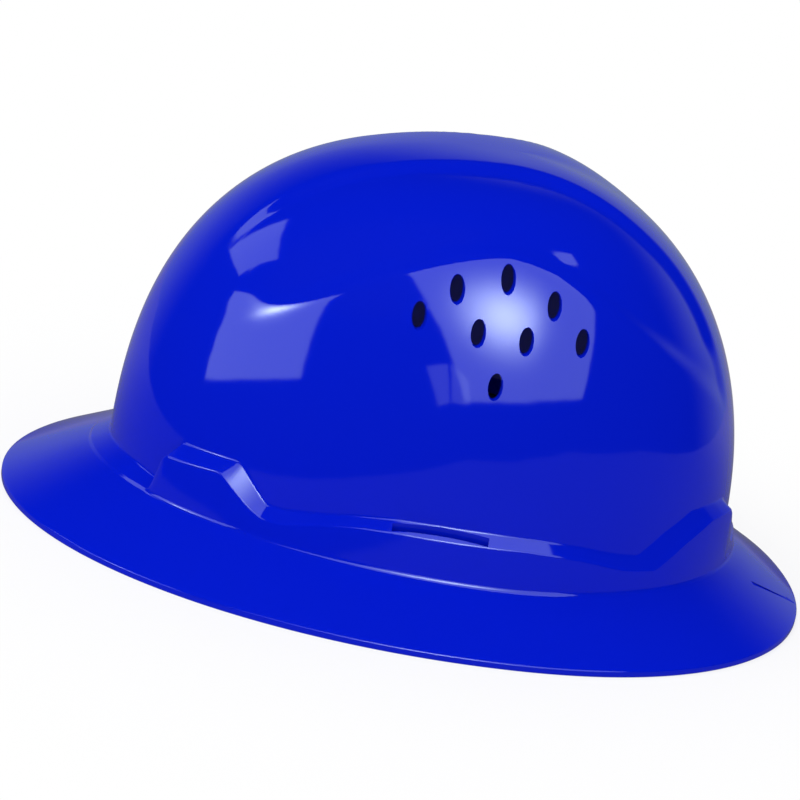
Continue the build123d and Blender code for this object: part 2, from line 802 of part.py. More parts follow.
with BuildPart() as ratchet_base:
    with BuildSketch(Plane.XY.offset(housing_foot)):
        with BuildLine():
            sector(base_inside, base_outside, -housing_half_angle, housing_half_angle)
        make_face()
    extrude(amount=housing_height)
    with BuildSketch(shaft_axis):
        Circle(shaft_radius + shaft_fit)
    extrude(amount=cover_inside, mode=Mode.SUBTRACT)
    add(screw_holes.part, mode=Mode.SUBTRACT)
ratchet_base.part.label = "ratchet_base"
export_step(ratchet_base.part, "parts/ratchet_base.step")

with BuildPart() as ratchet_cover:
    with BuildSketch(Plane.XY.offset(housing_foot)):
        with BuildLine():
            sector(base_outside + shaft_fit, cover_outside, -housing_half_angle, housing_half_angle)
        make_face()
    extrude(amount=housing_height)
    with BuildSketch(Plane.XY.offset(nape_level - housing_inner_height / 2)):
        with BuildLine():
            sector(base_inside, cover_inside, -nape_pad_half_angle, nape_pad_half_angle)
        make_face()
    extrude(amount=housing_inner_height, mode=Mode.SUBTRACT)
    with BuildSketch(shaft_axis):
        Circle(shaft_radius + shaft_fit)
    extrude(amount=cover_outside + cut_overrun, mode=Mode.SUBTRACT)
    add(screw_holes.part, mode=Mode.SUBTRACT)
ratchet_cover.part.label = "ratchet_cover"
export_step(ratchet_cover.part, "parts/ratchet_cover.step")

with BuildPart() as housing_screws:
    for turn in (-housing_screw_angle, housing_screw_angle):
        for level in (-screw_level, screw_level):
            x, y = nape_point(cover_outside + shaft_fit, turn)
            out = Vector(sin(radians(turn)), cos(radians(turn)), 0)
            seat = Plane(origin=(x, y, nape_level + level), z_dir=out)
            with BuildSketch(seat):
                Circle(housing_screw_radius)
            extrude(amount=base_inside - cover_outside + seat_gap)
            with BuildSketch(seat):
                Circle(2 * housing_screw_radius)
            extrude(amount=housing_screw_radius)
housing_screws.part.label = "housing_screws"
export_step(housing_screws.part, "parts/housing_screws.step")

# Nape pad: foam against the back of the head
with BuildPart() as nape_pad:
    with BuildSketch(Plane.XY.offset(nape_level - nape_pad_height / 2)):
        with BuildLine():
            sector(
                base_inside - seat_gap - nape_pad_thickness,
                base_inside - seat_gap,
                -nape_pad_half_angle,
                nape_pad_half_angle,
            )
        make_face()
    extrude(amount=nape_pad_height)
nape_pad.part.label = "nape_pad"
export_step(nape_pad.part, "parts/nape_pad.step")

# Pinion on its shaft, between the two racks
knob_foot = cover_outside + knob_gap
shaft_end = knob_foot + knob_depth - knob_recess_depth

with BuildPart() as pinion:
    with BuildSketch(shaft_axis.offset(base_outside + seat_gap)):
        Circle(pinion_root)
        with PolarLocations(0, pinion_tooth_count):
            with Locations((pinion_tip / 2, 0)):
                Rectangle(pinion_tip, rack_tooth_width)
    extrude(amount=cover_inside - base_outside - 2 * seat_gap)
    with BuildSketch(shaft_axis.offset(base_inside + seat_gap)):
        Circle(shaft_radius)
    extrude(amount=shaft_end - base_inside - seat_gap)
    with BuildSketch(shaft_axis.offset(shaft_end)):
        Circle(knob_screw_radius + shaft_fit)
    extrude(amount=-knob_depth / 2, mode=Mode.SUBTRACT)
pinion.part.label = "pinion"
export_step(pinion.part, "parts/pinion.step")

# Ratchet knob with finger grips, a recess for the detent ring and a countersunk screw
with BuildPart() as knob:
    with BuildSketch(shaft_axis.offset(knob_foot)):
        Circle(knob_radius)
        with PolarLocations(knob_radius + knob_grip_radius / 2, knob_grip_count):
            Circle(knob_grip_radius, mode=Mode.SUBTRACT)
    extrude(amount=knob_depth)
    fillet(knob.faces().sort_by(Axis.Y)[-1].edges(), radius=knob_depth / 10)
    with BuildSketch(shaft_axis.offset(knob_foot)):
        Circle(knob_recess_radius)
    extrude(amount=knob_recess_depth, mode=Mode.SUBTRACT)
    with BuildSketch(shaft_axis):
        Circle(shaft_radius + shaft_fit)
    extrude(amount=shaft_end + shaft_fit, mode=Mode.SUBTRACT)
    with BuildSketch(shaft_axis):
        Circle(knob_screw_radius + shaft_fit)
    extrude(amount=knob_foot + knob_depth + cut_overrun, mode=Mode.SUBTRACT)
    with BuildSketch(shaft_axis.offset(knob_foot + knob_depth)):
        Circle(knob_screw_head_radius + shaft_fit)
    extrude(amount=-knob_screw_head_thickness, mode=Mode.SUBTRACT)
knob.part.label = "ratchet_knob"
export_step(knob.part, "parts/ratchet_knob.step")

with BuildPart() as knob_screw:
    head_seat = knob_foot + knob_depth - knob_screw_head_thickness + shaft_fit
    with BuildSketch(shaft_axis.offset(head_seat)):
        Circle(knob_screw_head_radius)
    extrude(amount=knob_screw_head_thickness - 2 * shaft_fit)
    with BuildSketch(shaft_axis.offset(head_seat)):
        Circle(knob_screw_radius)
    extrude(amount=shaft_end - knob_depth / 2 + seat_gap - head_seat)
knob_screw.part.label = "knob_screw"
export_step(knob_screw.part, "parts/knob_screw.step")

# Detent ring on the cover, with two fingers that click in the knob's recess
detent_outside = knob_recess_radius - detent_finger_length - seat_gap
with BuildPart() as detent_ring:
    with BuildSketch(shaft_axis.offset(knob_foot)):
        Circle(detent_outside)
        with PolarLocations(0, 2):
            with Locations((detent_outside, 0)):
                Rectangle(2 * detent_finger_length, detent_ring_thickness)
        Circle(detent_outside - detent_ring_thickness, mode=Mode.SUBTRACT)
    extrude(amount=detent_ring_width)
detent_ring.part.label = "detent_ring"
export_step(detent_ring.part, "parts/detent_ring.step")
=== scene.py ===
"""Full brim hard hat: the finished pieces, materials and studio around its frame.

Lengths are metres. The hat rests on its rim on the XY plane, the brow points to -Y and
+X is the wearer's left.
"""

import json
from math import atan2, cos, hypot, pi, radians, sin, tan

import bmesh
import bpy
from bpy.props import FloatProperty, FloatVectorProperty, PointerProperty
from mathutils import Matrix, Vector
from mathutils.bvhtree import BVHTree


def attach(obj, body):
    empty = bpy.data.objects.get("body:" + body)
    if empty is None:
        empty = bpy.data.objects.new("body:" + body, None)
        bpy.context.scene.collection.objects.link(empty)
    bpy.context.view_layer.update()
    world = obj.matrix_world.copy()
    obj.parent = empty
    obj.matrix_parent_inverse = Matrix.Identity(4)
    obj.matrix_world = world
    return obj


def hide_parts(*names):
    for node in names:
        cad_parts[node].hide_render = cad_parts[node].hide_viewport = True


bl_info = {
    "name": "Full brim hard hat",
    "version": (1, 0, 0),
    "blender": (4, 5, 0),
    "location": "View3D > Sidebar > Hard hat",
    "description": "Builds a full brim hard hat with its suspension, ratchet headband and studio",
    "category": "Add Mesh",
}

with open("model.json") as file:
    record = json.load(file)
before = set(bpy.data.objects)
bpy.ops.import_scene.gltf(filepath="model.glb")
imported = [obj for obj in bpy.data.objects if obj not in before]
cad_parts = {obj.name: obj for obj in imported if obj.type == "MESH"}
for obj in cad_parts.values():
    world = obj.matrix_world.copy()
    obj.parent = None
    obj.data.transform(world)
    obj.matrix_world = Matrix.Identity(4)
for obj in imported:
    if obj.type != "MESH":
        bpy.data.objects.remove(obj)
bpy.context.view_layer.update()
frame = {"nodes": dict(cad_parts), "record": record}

# Outline of the rim, the belt and the dome around the hat's widest station
widest_station = 0.0144
rim_front_share = 2.0
rim_rear_share = 2.13
belt_front_share = 1.913
belt_rear_share = 1.883
dome_shape_share = 1.89
side_profile_share = 3.3
front_profile_share = 2.58
rear_profile_share = 2.166

# Crown ridge, side panels and the channels between them
panel_arch_height = 0.120
panel_arch_fall = 0.047
panel_arch_station = 0.003
panel_arch_reach = 0.093
panel_arch_share = 1.5
panel_edge_width = 0.009
ridge_half_width = 0.0275
ridge_tail_half_width = 0.0465
ridge_flare_start = 0.006
ridge_flare_length = 0.060
crown_rise = 0.0011
crown_spread = 0.002
crown_rise_station = 0.012
crown_rise_reach = 0.052
ridge_edge_width = 0.008
channel_front_station = -0.104
channel_fade_length = 0.052
channel_tail_height = 0.080
channel_tail_length = 0.012
channel_tail_share = 0.4

# Belt height lines: degrees from the brow, share of the belt's height at the side
ledge_line_shares = (
    (0, 0.28), (15.7, 0.27), (20.4, 0.2), (23.7, 0.15), (24.2, 0.66), (24.9, 1.14), (37.8, 1.22),
    (41, 0.89), (44.2, 0.58), (47.4, 0.58), (56.3, 0.74), (62.5, 0.88), (68.8, 0.97), (78.3, 1.01),
    (88.2, 1.02), (98.7, 0.99), (109, 0.88), (116, 0.76), (123.2, 0.67), (130, 1.1),
    (138.5, 1.45), (149, 1.43), (156, 1.39), (161.7, 0.55), (180, 0.55),
)
face_line_shares = (
    (0, 0.06), (20.4, 0.06), (23.3, 0.06), (23.8, 0.5), (24.8, 0.87), (36.3, 1.01), (39.1, 0.77),
    (42.8, 0.5), (45.6, 0.36), (49.4, 0.38), (56.8, 0.6), (63, 0.71), (70.9, 0.78), (82.4, 0.8),
    (95, 0.82), (103, 0.76), (109, 0.67), (118, 0.48), (127, 0.4), (135.4, 0.88),
    (143.6, 1.22), (149.6, 1.24), (154.5, 1.24), (160.2, 0.3), (180, 0.3),
)
corner_spread = 0.6
corner_spread_shares = (-1, -0.5, 0, 0.5, 1)
belt_corner_radii = (0.0014, 0.0012, 0.0022)
brim_foot_share = 0.16
rim_corner_radii = (0.0006, 0.0006, 0.0004, 0.0003)

# Vents of one side: places along the hat and heights above the belt's base, and the rings of a
# vent's opening as how far each spreads and how far it stands out of the wall. A ring below the
# rim's depth lies straight inwards
vent_places = (
    (-0.0273, 0.0923), (0.0327, 0.0923), (-0.0151, 0.1036), (0.0205, 0.1036),
    (-0.0061, 0.0906), (0.0115, 0.0906), (0.0027, 0.1099), (0.0027, 0.0733),
)
vent_rim_profile = ((0.0009, 0.0010), (0.0002, -0.0003), (0, -0.0012), (0, -0.018))
vent_rim_depth = 0.001
vent_segments = 64

# Accessory slot, key sockets and the crease of the rear brim: angles are degrees from the brow, and
# the crease's ends are also shares of the way from the belt's foot to the rim
slot_angle = 78.2
slot_wall_gap = 0.0002
cut_overrun = 0.005
key_angles = (34.4, 147.0)
socket_inset = 0.0029
socket_level = 0.0226
socket_size = (0.003, 0.0206, 0.022)
crease_start = (158.1, 0.38)
crease_end = (165.3, 0.97)
crease_width = 0.0022
crease_depth = 0.0011
crease_end_share = 0.3
crease_overrun = 0.0005

# Webbing of the suspension: its loop through a key, as distances outside the inner wall and heights
strap_foot_gap = 0.0065
strap_foot_height = 0.037
strap_crown_height = 0.1243
strap_crossing_gap = 0.0015
strap_shoulder_share = 0.72
strap_rise_share = 0.86
strap_loop = (
    (-0.00504, 0.060), (-0.00504, 0.0481), (-0.0013, 0.0481), (-0.0013, 0.0413), (-0.0061, 0.0413),
    (-0.0061, 0.044),
)
strap_loop_radii = (0.0014, 0.0012, 0.0014, 0.0018)
strap_loop_steps = 5
strap_join_gap = 0.001
strap_twist_start = 0.062
strap_twist_length = 0.040
strap_steps = 44
strap_columns = 10
strap_edge_share = 0.35
flap_seam_half_width = 0.0065
flap_seam_foot = 0.0505
flap_seam_top = 0.0585
patch_place = (0, 0.0172, 0.12115)
patch_size = 0.030
patch_corner = 0.00375
patch_corner_segments = 6
patch_corner_profile = 0.5
patch_inset = 0.0012
patch_thickness = 0.0012
patch_edge_share = 0.4
patch_seam = 0.012
cloth_edge_segments = 3
cloth_edge_angle = 60
cloth_sharp_angle = 50
stitch_length_share = 0.4
stitch_flat_share = 0.8

# Pads: the headband's ellipse and the arc of the ratchet housing, both around one station. A pad's
# cells are their number and the columns of each, and its shares are parts of its thickness
pad_station = 0.006
brow_pad_reach = (0.0857, 0.1097)
brow_pad_half_angle = 60.5
brow_pad_heights = (0.0092, 0.0368)
brow_pad_cells = (12, 8)
nape_pad_radius = 0.0783
nape_pad_half_angle = 27
nape_pad_heights = (0.0117, 0.0363)
nape_pad_cells = (6, 6)
pad_rows = 14
pad_start_share = 0.6
pad_seam_share = 0.4
pad_rear_edge_share = 0.25
pad_front_edge_share = 0.75
pad_border_share = 0.999
pad_corner_start_share = 0.93
pad_corner_narrow_share = 0.1
pad_least_depth = 0.0001
pad_cloth = {
    "mass": 0.002,
    "tension_stiffness": 0.6,
    "compression_stiffness": 0.6,
    "shear_stiffness": 0.3,
    "bending_stiffness": 0.05,
}
stud_level = 0.030
stud_clear_radius = 0.0036
stud_clear_depth = 0.0027
stud_clear_fade = 0.002
swell_frames = 20

# Rounded edges of the moulded fittings
weld_distance = 0.00001
fitting_edge_radius = 0.0003
fitting_edge_angle = 50
fitting_edge_segments = 2

# Steps of the turned mesh over half the hat, the angle from the brow that each one reaches, and the
# counts and limits that its sections are made with
turn_angles = ((0, 0), (22, 22), (78, 50), (128, 105), (198, 152), (225, 180))
half_turn_steps = 225
dome_rings = 96
brim_rings = 14
underside_rings = 9
inner_rings = 46
corner_steps = 4
rim_corner_steps = 3
corner_cut_share = 0.45
lift_limit = 1.2
lift_halvings = 24
key_turn = 0.5
shell_sharp_angle = 38
merge_distance = 0.0001

# Finishes of the moulded fittings: name, tone of the colour, roughness, share of the grain's depth
# and the strength of its speckle
fitting_finishes = (
    ("satin_key", 1.0, 0.42, 0.5, 0.05),
    ("satin_hanger", 1.15, 0.38, 0.4, 0.05),
    ("satin_stud", 1.6, 0.3, 0.25, 0.03),
    ("matt_headband", 0.9, 0.5, 0.8, 0.08),
    ("matt_ratchet", 1.1, 0.46, 0.7, 0.06),
    ("matt_knob", 1.3, 0.52, 1.0, 0.08),
)
fitting_slots = {
    "key": "satin_key",
    "hanger": "satin_hanger",
    "stud": "satin_stud",
    "headband": "matt_headband",
    "ratchet": "matt_ratchet",
    "knob": "matt_knob",
    "pinion": "nylon_gear",
    "screw": "turned_steel",
}

# Sockets that the surface patterns share: label and kind, and for an input its default
pattern_inputs = (("Vector", "Vector", None), ("Colour", "Color", None))
pattern_outputs = (("Colour", "Color"), ("Roughness", "Float"), ("Height", "Float"))

# Surface patterns: their pitch, the scales of their noise, per metre, the depths of their relief, and
# how much of each effect goes into the colour, the polish and the height
shell_wave_scale = 55
shell_wave_strength = 0.12
shell_wave_depth = 0.0004
shell_refraction = 1.49
plastic_refraction = 1.5
noise_middle = 0.5
grain_pitch = 0.0006
grain_drift_scale = 90.0
grain_speck_scale = 900.0
grain_depth = 0.00006
grain_cell_share = 0.7
grain_drift_share = 0.25
grain_speck_share = 4.0
grain_polish_share = 0.3
weave_pitch = 0.0011
weave_fuzz_scale = 2600.0
weave_wear_scale = 60.0
weave_warp_power = 0.6
weave_weft_power = 0.4
weave_fuzz_share = 0.25
# The weave's relief also darkens its colour: painted shade in the hollows between the ribs, with random
# fuzz
weave_relief_shade_share = 0.9
weave_polish = (0.85, 0.15)
webbing_depth = 0.0003
patch_weave_pitch = 0.0008
patch_weave_depth = 0.0002
thread_pitch = 0.0003
thread_depth = 0.0001
knit_pitch = 0.0014
knit_fuzz_scale = 3200.0
knit_wear_scale = 45.0
knit_fuzz_share = 0.4
# The knit's relief also darkens its colour: painted shade in its open cells, with random fuzz
knit_relief_shade_share = 0.7
knit_polish = (0.84, 0.12)
cloth_wear_share = 0.5
cloth_base_tone = 0.1
knit_randomness = 0.35
knit_hole_edge = (0.1, 0.4)
knit_depth = 0.0004
webbing_sheen = 0.25
webbing_sheen_roughness = 0.4
knit_sheen = 0.4
knit_sheen_roughness = 0.5
gear_colour = (0.52, 0.52, 0.49)
gear_finish = (0.4, 0.3, 0.02)
steel_colour = (0.6, 0.6, 0.62)
steel_roughness = 0.3
steel_speckle = 0.02
steel_mark_pitch = 0.0002
steel_mark_depth = 0.00002

# Lamps that only glossy surfaces see, each a flat panel given by directions from the hat: its
# corner, its two sides, its level, the level and place of its hot middle, and that middle's size
light_panels = (
    ((1.59, -0.17, 0.03), (-0.385, 1.214, 0.085), (-1.23, -0.46, 1.0), 1.8, 15.0, (0.346, 0.497, 0), 0.17),
    (
        (0.006, -0.997, -0.071), (0.409, 0.404, 0.093), (-0.161, 0.013, 0.416),
        2.0, 20.0, (0.577, 0.785, 0), 0.15,
    ),
    ((-0.485, -0.769, 0.416), (0.175, -0.479, 0.215), (0.207, 0.434, -0.012), 1.5, 0.0, (0.5, 0.5, 0), 0.3),
    ((0.971, -0.237, -0.01), (0.011, 0.055, 0.015), (-0.476, 0.054, 0.102), 0.9, 0.0, (0.5, 0.5, 0), 0.3),
    ((0.985, -0.172, 0.007), (0.894, 0.029, 0.01), (0.099, -0.083, 0.226), 0.9, 0.0, (0.5, 0.5, 0), 0.3),
)
panel_edge_softness = 0.012
least_facing = 0.0001
dark_room_level = 0.006
backdrop_level = 0.3
studio_tint = (0.85, 1.0, 1.1, 1)
room_white = (1, 1, 1, 1)
backdrop_direction = (-0.985, 0.174, 0)
backdrop_spread = (0.35, 0.85)
backdrop_heights = (0.12, 0.6)

# Edges of the glowing table top that glossy rays see, a painted reflection: outward direction and distance
# of each
table_edges = (
    ((0.98, -0.197, 0), 0.455),
    ((0.52, -0.85, 0), 0.25),
    ((0.78, 0.63, 0), 0.656),
    ((-0.18, 0.98, 0), 0.598),
)
table_edge_softness = 0.004
# Glow of that table top: low near the hat as a painted shadow, higher farther towards -X
table_shadow_level = 0.13
table_open_level = 0.3
table_level_reach = 0.3

# Floor: its radii and levels of white, from the hat's shadow to the open floor
floor_segments = 96
floor_shadow_reach = (0.13, 0.36)
floor_white_levels = (0.7, 1.0)
floor_colour = (0.9, 0.9, 0.9, 1)
floor_roughness = 0.9

# Share of the even light that passes the floor, so that the inside of the hat isn't left black
floor_clear_share = 0.2

# Camera: the point that it looks at, and its film
camera_target = (0, -0.01059, 0.05288)
film_width = 36
sight_limit = 30

# Broad soft lamp over the hat, in degrees
lamp_spread = 70
lamp_tilt = (25, 20)


def length_setting(name, description, default):
    """Length that a user can change."""
    return FloatProperty(name=name, description=description, default=default, unit="LENGTH")


def angle_setting(name, description, default):
    """Angle that a user can change, given in degrees."""
    return FloatProperty(name=name, description=description, default=radians(default), subtype="ANGLE")


def colour_setting(name, description, default):
    """Colour that a user can change."""
    return FloatVectorProperty(name=name, description=description, default=default, subtype="COLOR")


class HatShellSettings(bpy.types.PropertyGroup):
    """Sizes and colour of the moulded shell"""

    length: length_setting("Length", "Overall length of the brim", 0.3214)
    width: length_setting("Width", "Overall width of the brim", 0.2772)
    rim_height: length_setting("Rim height", "Height of the rim's edge", 0.0024)
    belt_base: length_setting("Belt base", "Height of the foot of the dome", 0.019)
    belt_height: length_setting("Belt height", "Height of the belt at the side", 0.019)
    belt_half_width: length_setting("Belt half width", "Half of the belt's width", 0.1095)
    belt_front: length_setting("Belt front reach", "Belt ahead of the widest station", 0.1435)
    belt_rear: length_setting("Belt rear reach", "Belt behind the widest station", 0.1185)
    belt_draft: length_setting("Belt draft", "How far the belt's face leans in", 0.0008)
    dome_half_width: length_setting("Dome half width", "Half of the dome's width", 0.1046)
    dome_front: length_setting("Dome front reach", "Dome ahead of the widest station", 0.136)
    dome_rear: length_setting("Dome rear reach", "Dome behind the widest station", 0.1134)
    dome_height: length_setting("Dome height", "Crown above the belt's base", 0.1387)
    channel_depth: length_setting("Channel depth", "Depth of the channels beside the ridge", 0.0024)
    wall: length_setting("Wall", "Thickness of the moulded wall", 0.0024)
    lip_width: length_setting("Lip width", "Width of the lip below the rim", 0.0022)
    lip_depth: length_setting("Lip depth", "Depth of the lip below the brim", 0.001)
    vent_length: length_setting("Vent length", "Height of each oval vent", 0.0093)
    vent_width: length_setting("Vent width", "Width of each oval vent", 0.0047)
    slot_length: length_setting("Slot length", "Length of the accessory slot", 0.0355)
    slot_width: length_setting("Slot width", "Width of the accessory slot", 0.0026)
    colour: colour_setting("Colour", "Colour of the glossy shell", (0.0005, 0.0095, 0.56))
    roughness: FloatProperty(
        name="Roughness", description="Roughness of the polished shell", default=0.06, subtype="FACTOR"
    )


class HatSuspensionSettings(bpy.types.PropertyGroup):
    """Sizes and colours of the webbing, the pads and the moulded fittings"""

    strap_width: length_setting("Strap width", "Width of the webbing", 0.019)
    strap_thickness: length_setting("Strap thickness", "Thickness of the webbing", 0.001)
    stitch_pitch: length_setting("Stitch pitch", "Distance between stitches", 0.0026)
    thread_radius: length_setting("Thread radius", "Radius of the thread", 0.0003)
    brow_pad_thickness: length_setting("Brow pad thickness", "Thickness of the brow pad", 0.0035)
    nape_pad_thickness: length_setting("Nape pad thickness", "Thickness of the nape pad", 0.0045)
    pad_pressure: FloatProperty(
        name="Pad pressure", description="Pressure that swells the pads", default=60.0
    )
    webbing_colour: colour_setting("Webbing colour", "Colour of the straps", (0.022, 0.023, 0.026))
    thread_colour: colour_setting("Thread colour", "Colour of the stitching", (0.10, 0.10, 0.105))
    pad_colour: colour_setting("Pad colour", "Colour of the pads' cloth", (0.018, 0.019, 0.022))
    fitting_colour: colour_setting(
        "Fitting colour", "Colour of the moulded fittings", (0.02, 0.021, 0.024)
    )


class HatStageSettings(bpy.types.PropertyGroup):
    """Camera, floor and lights of the studio"""

    azimuth: angle_setting("Azimuth", "Camera direction around the hat", 78.62)
    elevation: angle_setting("Elevation", "Camera direction above the floor", 16.28)
    roll: angle_setting("Roll", "Tilt of the camera", 11.21)
    distance: length_setting("Distance", "Camera to the middle of the hat", 1.12605)
    lens: FloatProperty(name="Lens", description="Focal length in millimetres", default=128.2)
    floor_size: length_setting("Floor size", "Radius of the floor", 1.6)
    sun_strength: FloatProperty(
        name="Sun strength", description="Light of the broad soft lamp", default=1.3
    )
    fill_strength: FloatProperty(
        name="Fill strength", description="Even light of the room", default=0.76
    )


def interpolate(table, place):
    """Value of a table of places between its nearest two entries."""
    for (start, low), (end, high) in zip(table, table[1:]):
        if place <= end:
            return low + (high - low) * (place - start) / (end - start)
    return table[-1][1]


def soft_line(table, angle):
    """Value of a belt line with its corners slightly rounded."""
    total = 0
    for share in corner_spread_shares:
        place = abs(angle + share * corner_spread)
        total += interpolate(table, min(place, 360 - place))
    return total / len(corner_spread_shares)


def ease(share):
    """Smooth step from nothing to one."""
    held = min(max(share, 0), 1)
    return held * held * (3 - 2 * held)


def plan_radius(angle, half_width, front, rear, front_share, rear_share):
    """Distance of a rounded plan outline from the widest station, at an angle from the brow."""
    side = abs(sin(radians(angle)))
    ahead = cos(radians(angle))
    reach, share = (front, front_share) if ahead > 0 else (rear, rear_share)
    return ((side / half_width) ** share + (abs(ahead) / reach) ** share) ** (-1 / share)


def rim_radius(hat, angle, inset=0):
    """Plan radius of the rim."""
    front = hat.length / 2 + widest_station - inset
    rear = hat.length / 2 - widest_station - inset
    return plan_radius(angle, hat.width / 2 - inset, front, rear, rim_front_share, rim_rear_share)


def belt_radius(hat, angle, inset=0):
    """Plan radius of the belt's base line."""
    front, rear = hat.belt_front - inset, hat.belt_rear - inset
    return plan_radius(angle, hat.belt_half_width - inset, front, rear, belt_front_share, belt_rear_share)


def wall_radius(hat, angle, inset=0):
    """Plan radius of the dome's foot."""
    front, rear = hat.dome_front - inset, hat.dome_rear - inset
    return plan_radius(angle, hat.dome_half_width - inset, front, rear, dome_shape_share, dome_shape_share)


def relief(hat, x, along, z):
    """How far the wall is drawn in between the crown ridge and the side panels."""
    distance = abs(along - (panel_arch_station - widest_station)) / panel_arch_reach
    arch = panel_arch_height - panel_arch_fall * distance**panel_arch_share
    station = along + widest_station
    flare = ease((station - ridge_flare_start) / ridge_flare_length)
    crown = ease(1 - abs(station - crown_rise_station) / crown_rise_reach)
    ridge = ridge_half_width + (ridge_tail_half_width - ridge_half_width) * flare + crown_spread * crown
    above_panel = ease((z - arch) / panel_edge_width + 0.5)
    beside_ridge = ease((abs(x) - ridge) / ridge_edge_width + 0.5)
    behind_brow = ease((station - channel_front_station) / channel_fade_length)
    tail = ease((z - channel_tail_height) / channel_tail_length)
    above_tail = channel_tail_share + (1 - channel_tail_share) * tail
    channel = hat.channel_depth * above_panel * beside_ridge * behind_brow * above_tail
    return channel - crown_rise * crown * (1 - beside_ridge)


def dome_profile(hat, angle, lift, inset=0):
    """Radius and height of the dome's wall in a direction: an angle from the brow and a lift in radians."""
    lengthwise = cos(radians(angle)) ** 2
    end_share = front_profile_share if cos(radians(angle)) > 0 else rear_profile_share
    bulge = side_profile_share * (1 - lengthwise) + end_share * lengthwise
    plan = cos(lift) / wall_radius(hat, angle, inset)
    rise = max(sin(lift), 0) / (hat.dome_height - inset)
    reach = (plan**bulge + rise**bulge) ** (-1 / bulge)
    x = reach * cos(lift) * sin(radians(angle))
    along = -reach * cos(lift) * cos(radians(angle))
    reach -= relief(hat, x, along, reach * sin(lift))
    return Vector((reach * cos(lift), hat.belt_base + reach * sin(lift)))


def lift_at(hat, angle, height):
    """Lift of the direction in which the dome's wall has a height."""
    low, high = 0.0, lift_limit
    for _ in range(lift_halvings):
        middle = (low + high) / 2
        if dome_profile(hat, angle, middle).y < height:
            low = middle
        else:
            high = middle
    return low


def rounded(points, radii, steps):
    """Profile through points, with the corner at each inner point turned into a short arc."""
    line = [points[0]]
    for before, corner, after, radius in zip(points, points[1:], points[2:], radii):
        towards, away = before - corner, after - corner
        turn = pi - towards.angle(away)
        cut = min(radius * tan(turn / 2), corner_cut_share * min(towards.length, away.length))
        start = corner + towards.normalized() * cut
        end = corner + away.normalized() * cut
        for step in range(steps + 1):
            share = step / steps
            line.append(start.lerp(corner, share).lerp(corner.lerp(end, share), share))
    line.append(points[-1])
    return line


def between(start, end, count):
    """Evenly spaced points between two points, without its ends."""
    return [start.lerp(end, step / (count + 1)) for step in range(1, count + 1)]


def shell_profile(hat, angle):
    """Closed section of the shell at an angle, from the crown down the outside and back up the inside."""
    ledge_height = hat.belt_base + hat.belt_height * soft_line(ledge_line_shares, angle)
    brow_height = hat.belt_base + hat.belt_height * soft_line(face_line_shares, angle)
    lowest = lift_at(hat, angle, ledge_height)
    lifts = (pi / 2 + (lowest - pi / 2) * ring / dome_rings for ring in range(dome_rings))
    dome = [dome_profile(hat, angle, lift) for lift in lifts]
    ledge = dome_profile(hat, angle, lowest)
    base = belt_radius(hat, angle)
    brow = Vector((base - hat.belt_draft, brow_height))
    foot = Vector((base, hat.belt_base))
    rim = Vector((rim_radius(hat, angle), hat.rim_height))
    first_brim = foot.lerp(rim, brim_foot_share)
    belt = rounded([dome[-1], ledge, brow, foot, first_brim], belt_corner_radii, corner_steps)
    brim = between(first_brim, rim, brim_rings)
    rim_foot = Vector((rim.x, 0))
    lip_foot = Vector((rim_radius(hat, angle, hat.lip_width), 0))
    lip_top = Vector((lip_foot.x, hat.rim_height - hat.lip_depth))
    under_foot = Vector((belt_radius(hat, angle, hat.lip_width), hat.belt_base - hat.wall))
    inner_foot = Vector((wall_radius(hat, angle, hat.wall), hat.belt_base - hat.wall))
    corners = [brim[-1], rim, rim_foot, lip_foot, lip_top, under_foot]
    edge = rounded(corners, rim_corner_radii, rim_corner_steps)
    underside = between(lip_top, under_foot, underside_rings)
    lifts = [pi / 2 * ring / inner_rings for ring in range(inner_rings + 1)]
    inside = [dome_profile(hat, angle, lift, hat.wall) for lift in lifts]
    return dome + belt[1:] + brim[:-1] + edge[:-1] + underside + [under_foot, inner_foot] + inside


def turned_angle(step):
    """Angle from the brow, in degrees, of a step of the turned mesh."""
    if step > half_turn_steps:
        return 360 - interpolate(turn_angles, 2 * half_turn_steps - step)
    return interpolate(turn_angles, step)


def new_piece(name, bm, body):
    """Object of a finished mesh that rides on a body."""
    mesh = bpy.data.meshes.new(name)
    bm.to_mesh(mesh)
    bm.free()
    piece = bpy.data.objects.new(name, mesh)
    bpy.context.scene.collection.objects.link(piece)
    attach(piece, body)
    return piece


def face_outwards(bm):
    """Turns the faces of a closed mesh outwards."""
    bmesh.ops.recalc_face_normals(bm, faces=bm.faces)
    if bm.calc_volume(signed=True) < 0:
        bmesh.ops.reverse_faces(bm, faces=bm.faces)


def settle(piece):
    """The piece's mesh with its modifiers applied."""
    depsgraph = bpy.context.evaluated_depsgraph_get()
    finished = bpy.data.meshes.new_from_object(piece.evaluated_get(depsgraph), depsgraph=depsgraph)
    piece.modifiers.clear()
    rough = piece.data
    piece.data = finished
    finished.name = piece.name
    bpy.data.meshes.remove(rough)


def shade(piece, sharp_angle):
    """Smooth shading with sharp edges past an angle."""
    piece.data.shade_smooth()
    piece.data.set_sharp_from_angle(angle=radians(sharp_angle))


def dress(piece, material):
    """Gives the whole piece one material."""
    piece.data.materials.clear()
    piece.data.materials.append(material)
    for face in piece.data.polygons:
        face.material_index = 0


def key_place(hat, angle):
    """Place on the inner wall and outward direction at an angle from the brow, positive to the left."""
    places = []
    for turn in (abs(angle) - key_turn, abs(angle), abs(angle) + key_turn):
        reach, turned = wall_radius(hat, turn, hat.wall), radians(turn)
        places.append(Vector((reach * sin(turned), widest_station - reach * cos(turned), 0)))
    along = places[2] - places[0]
    place, out = places[1], Vector((along.y, -along.x, 0)).normalized()
    if angle < 0:
        place.x, out.x = -place.x, -out.x
    return place, out


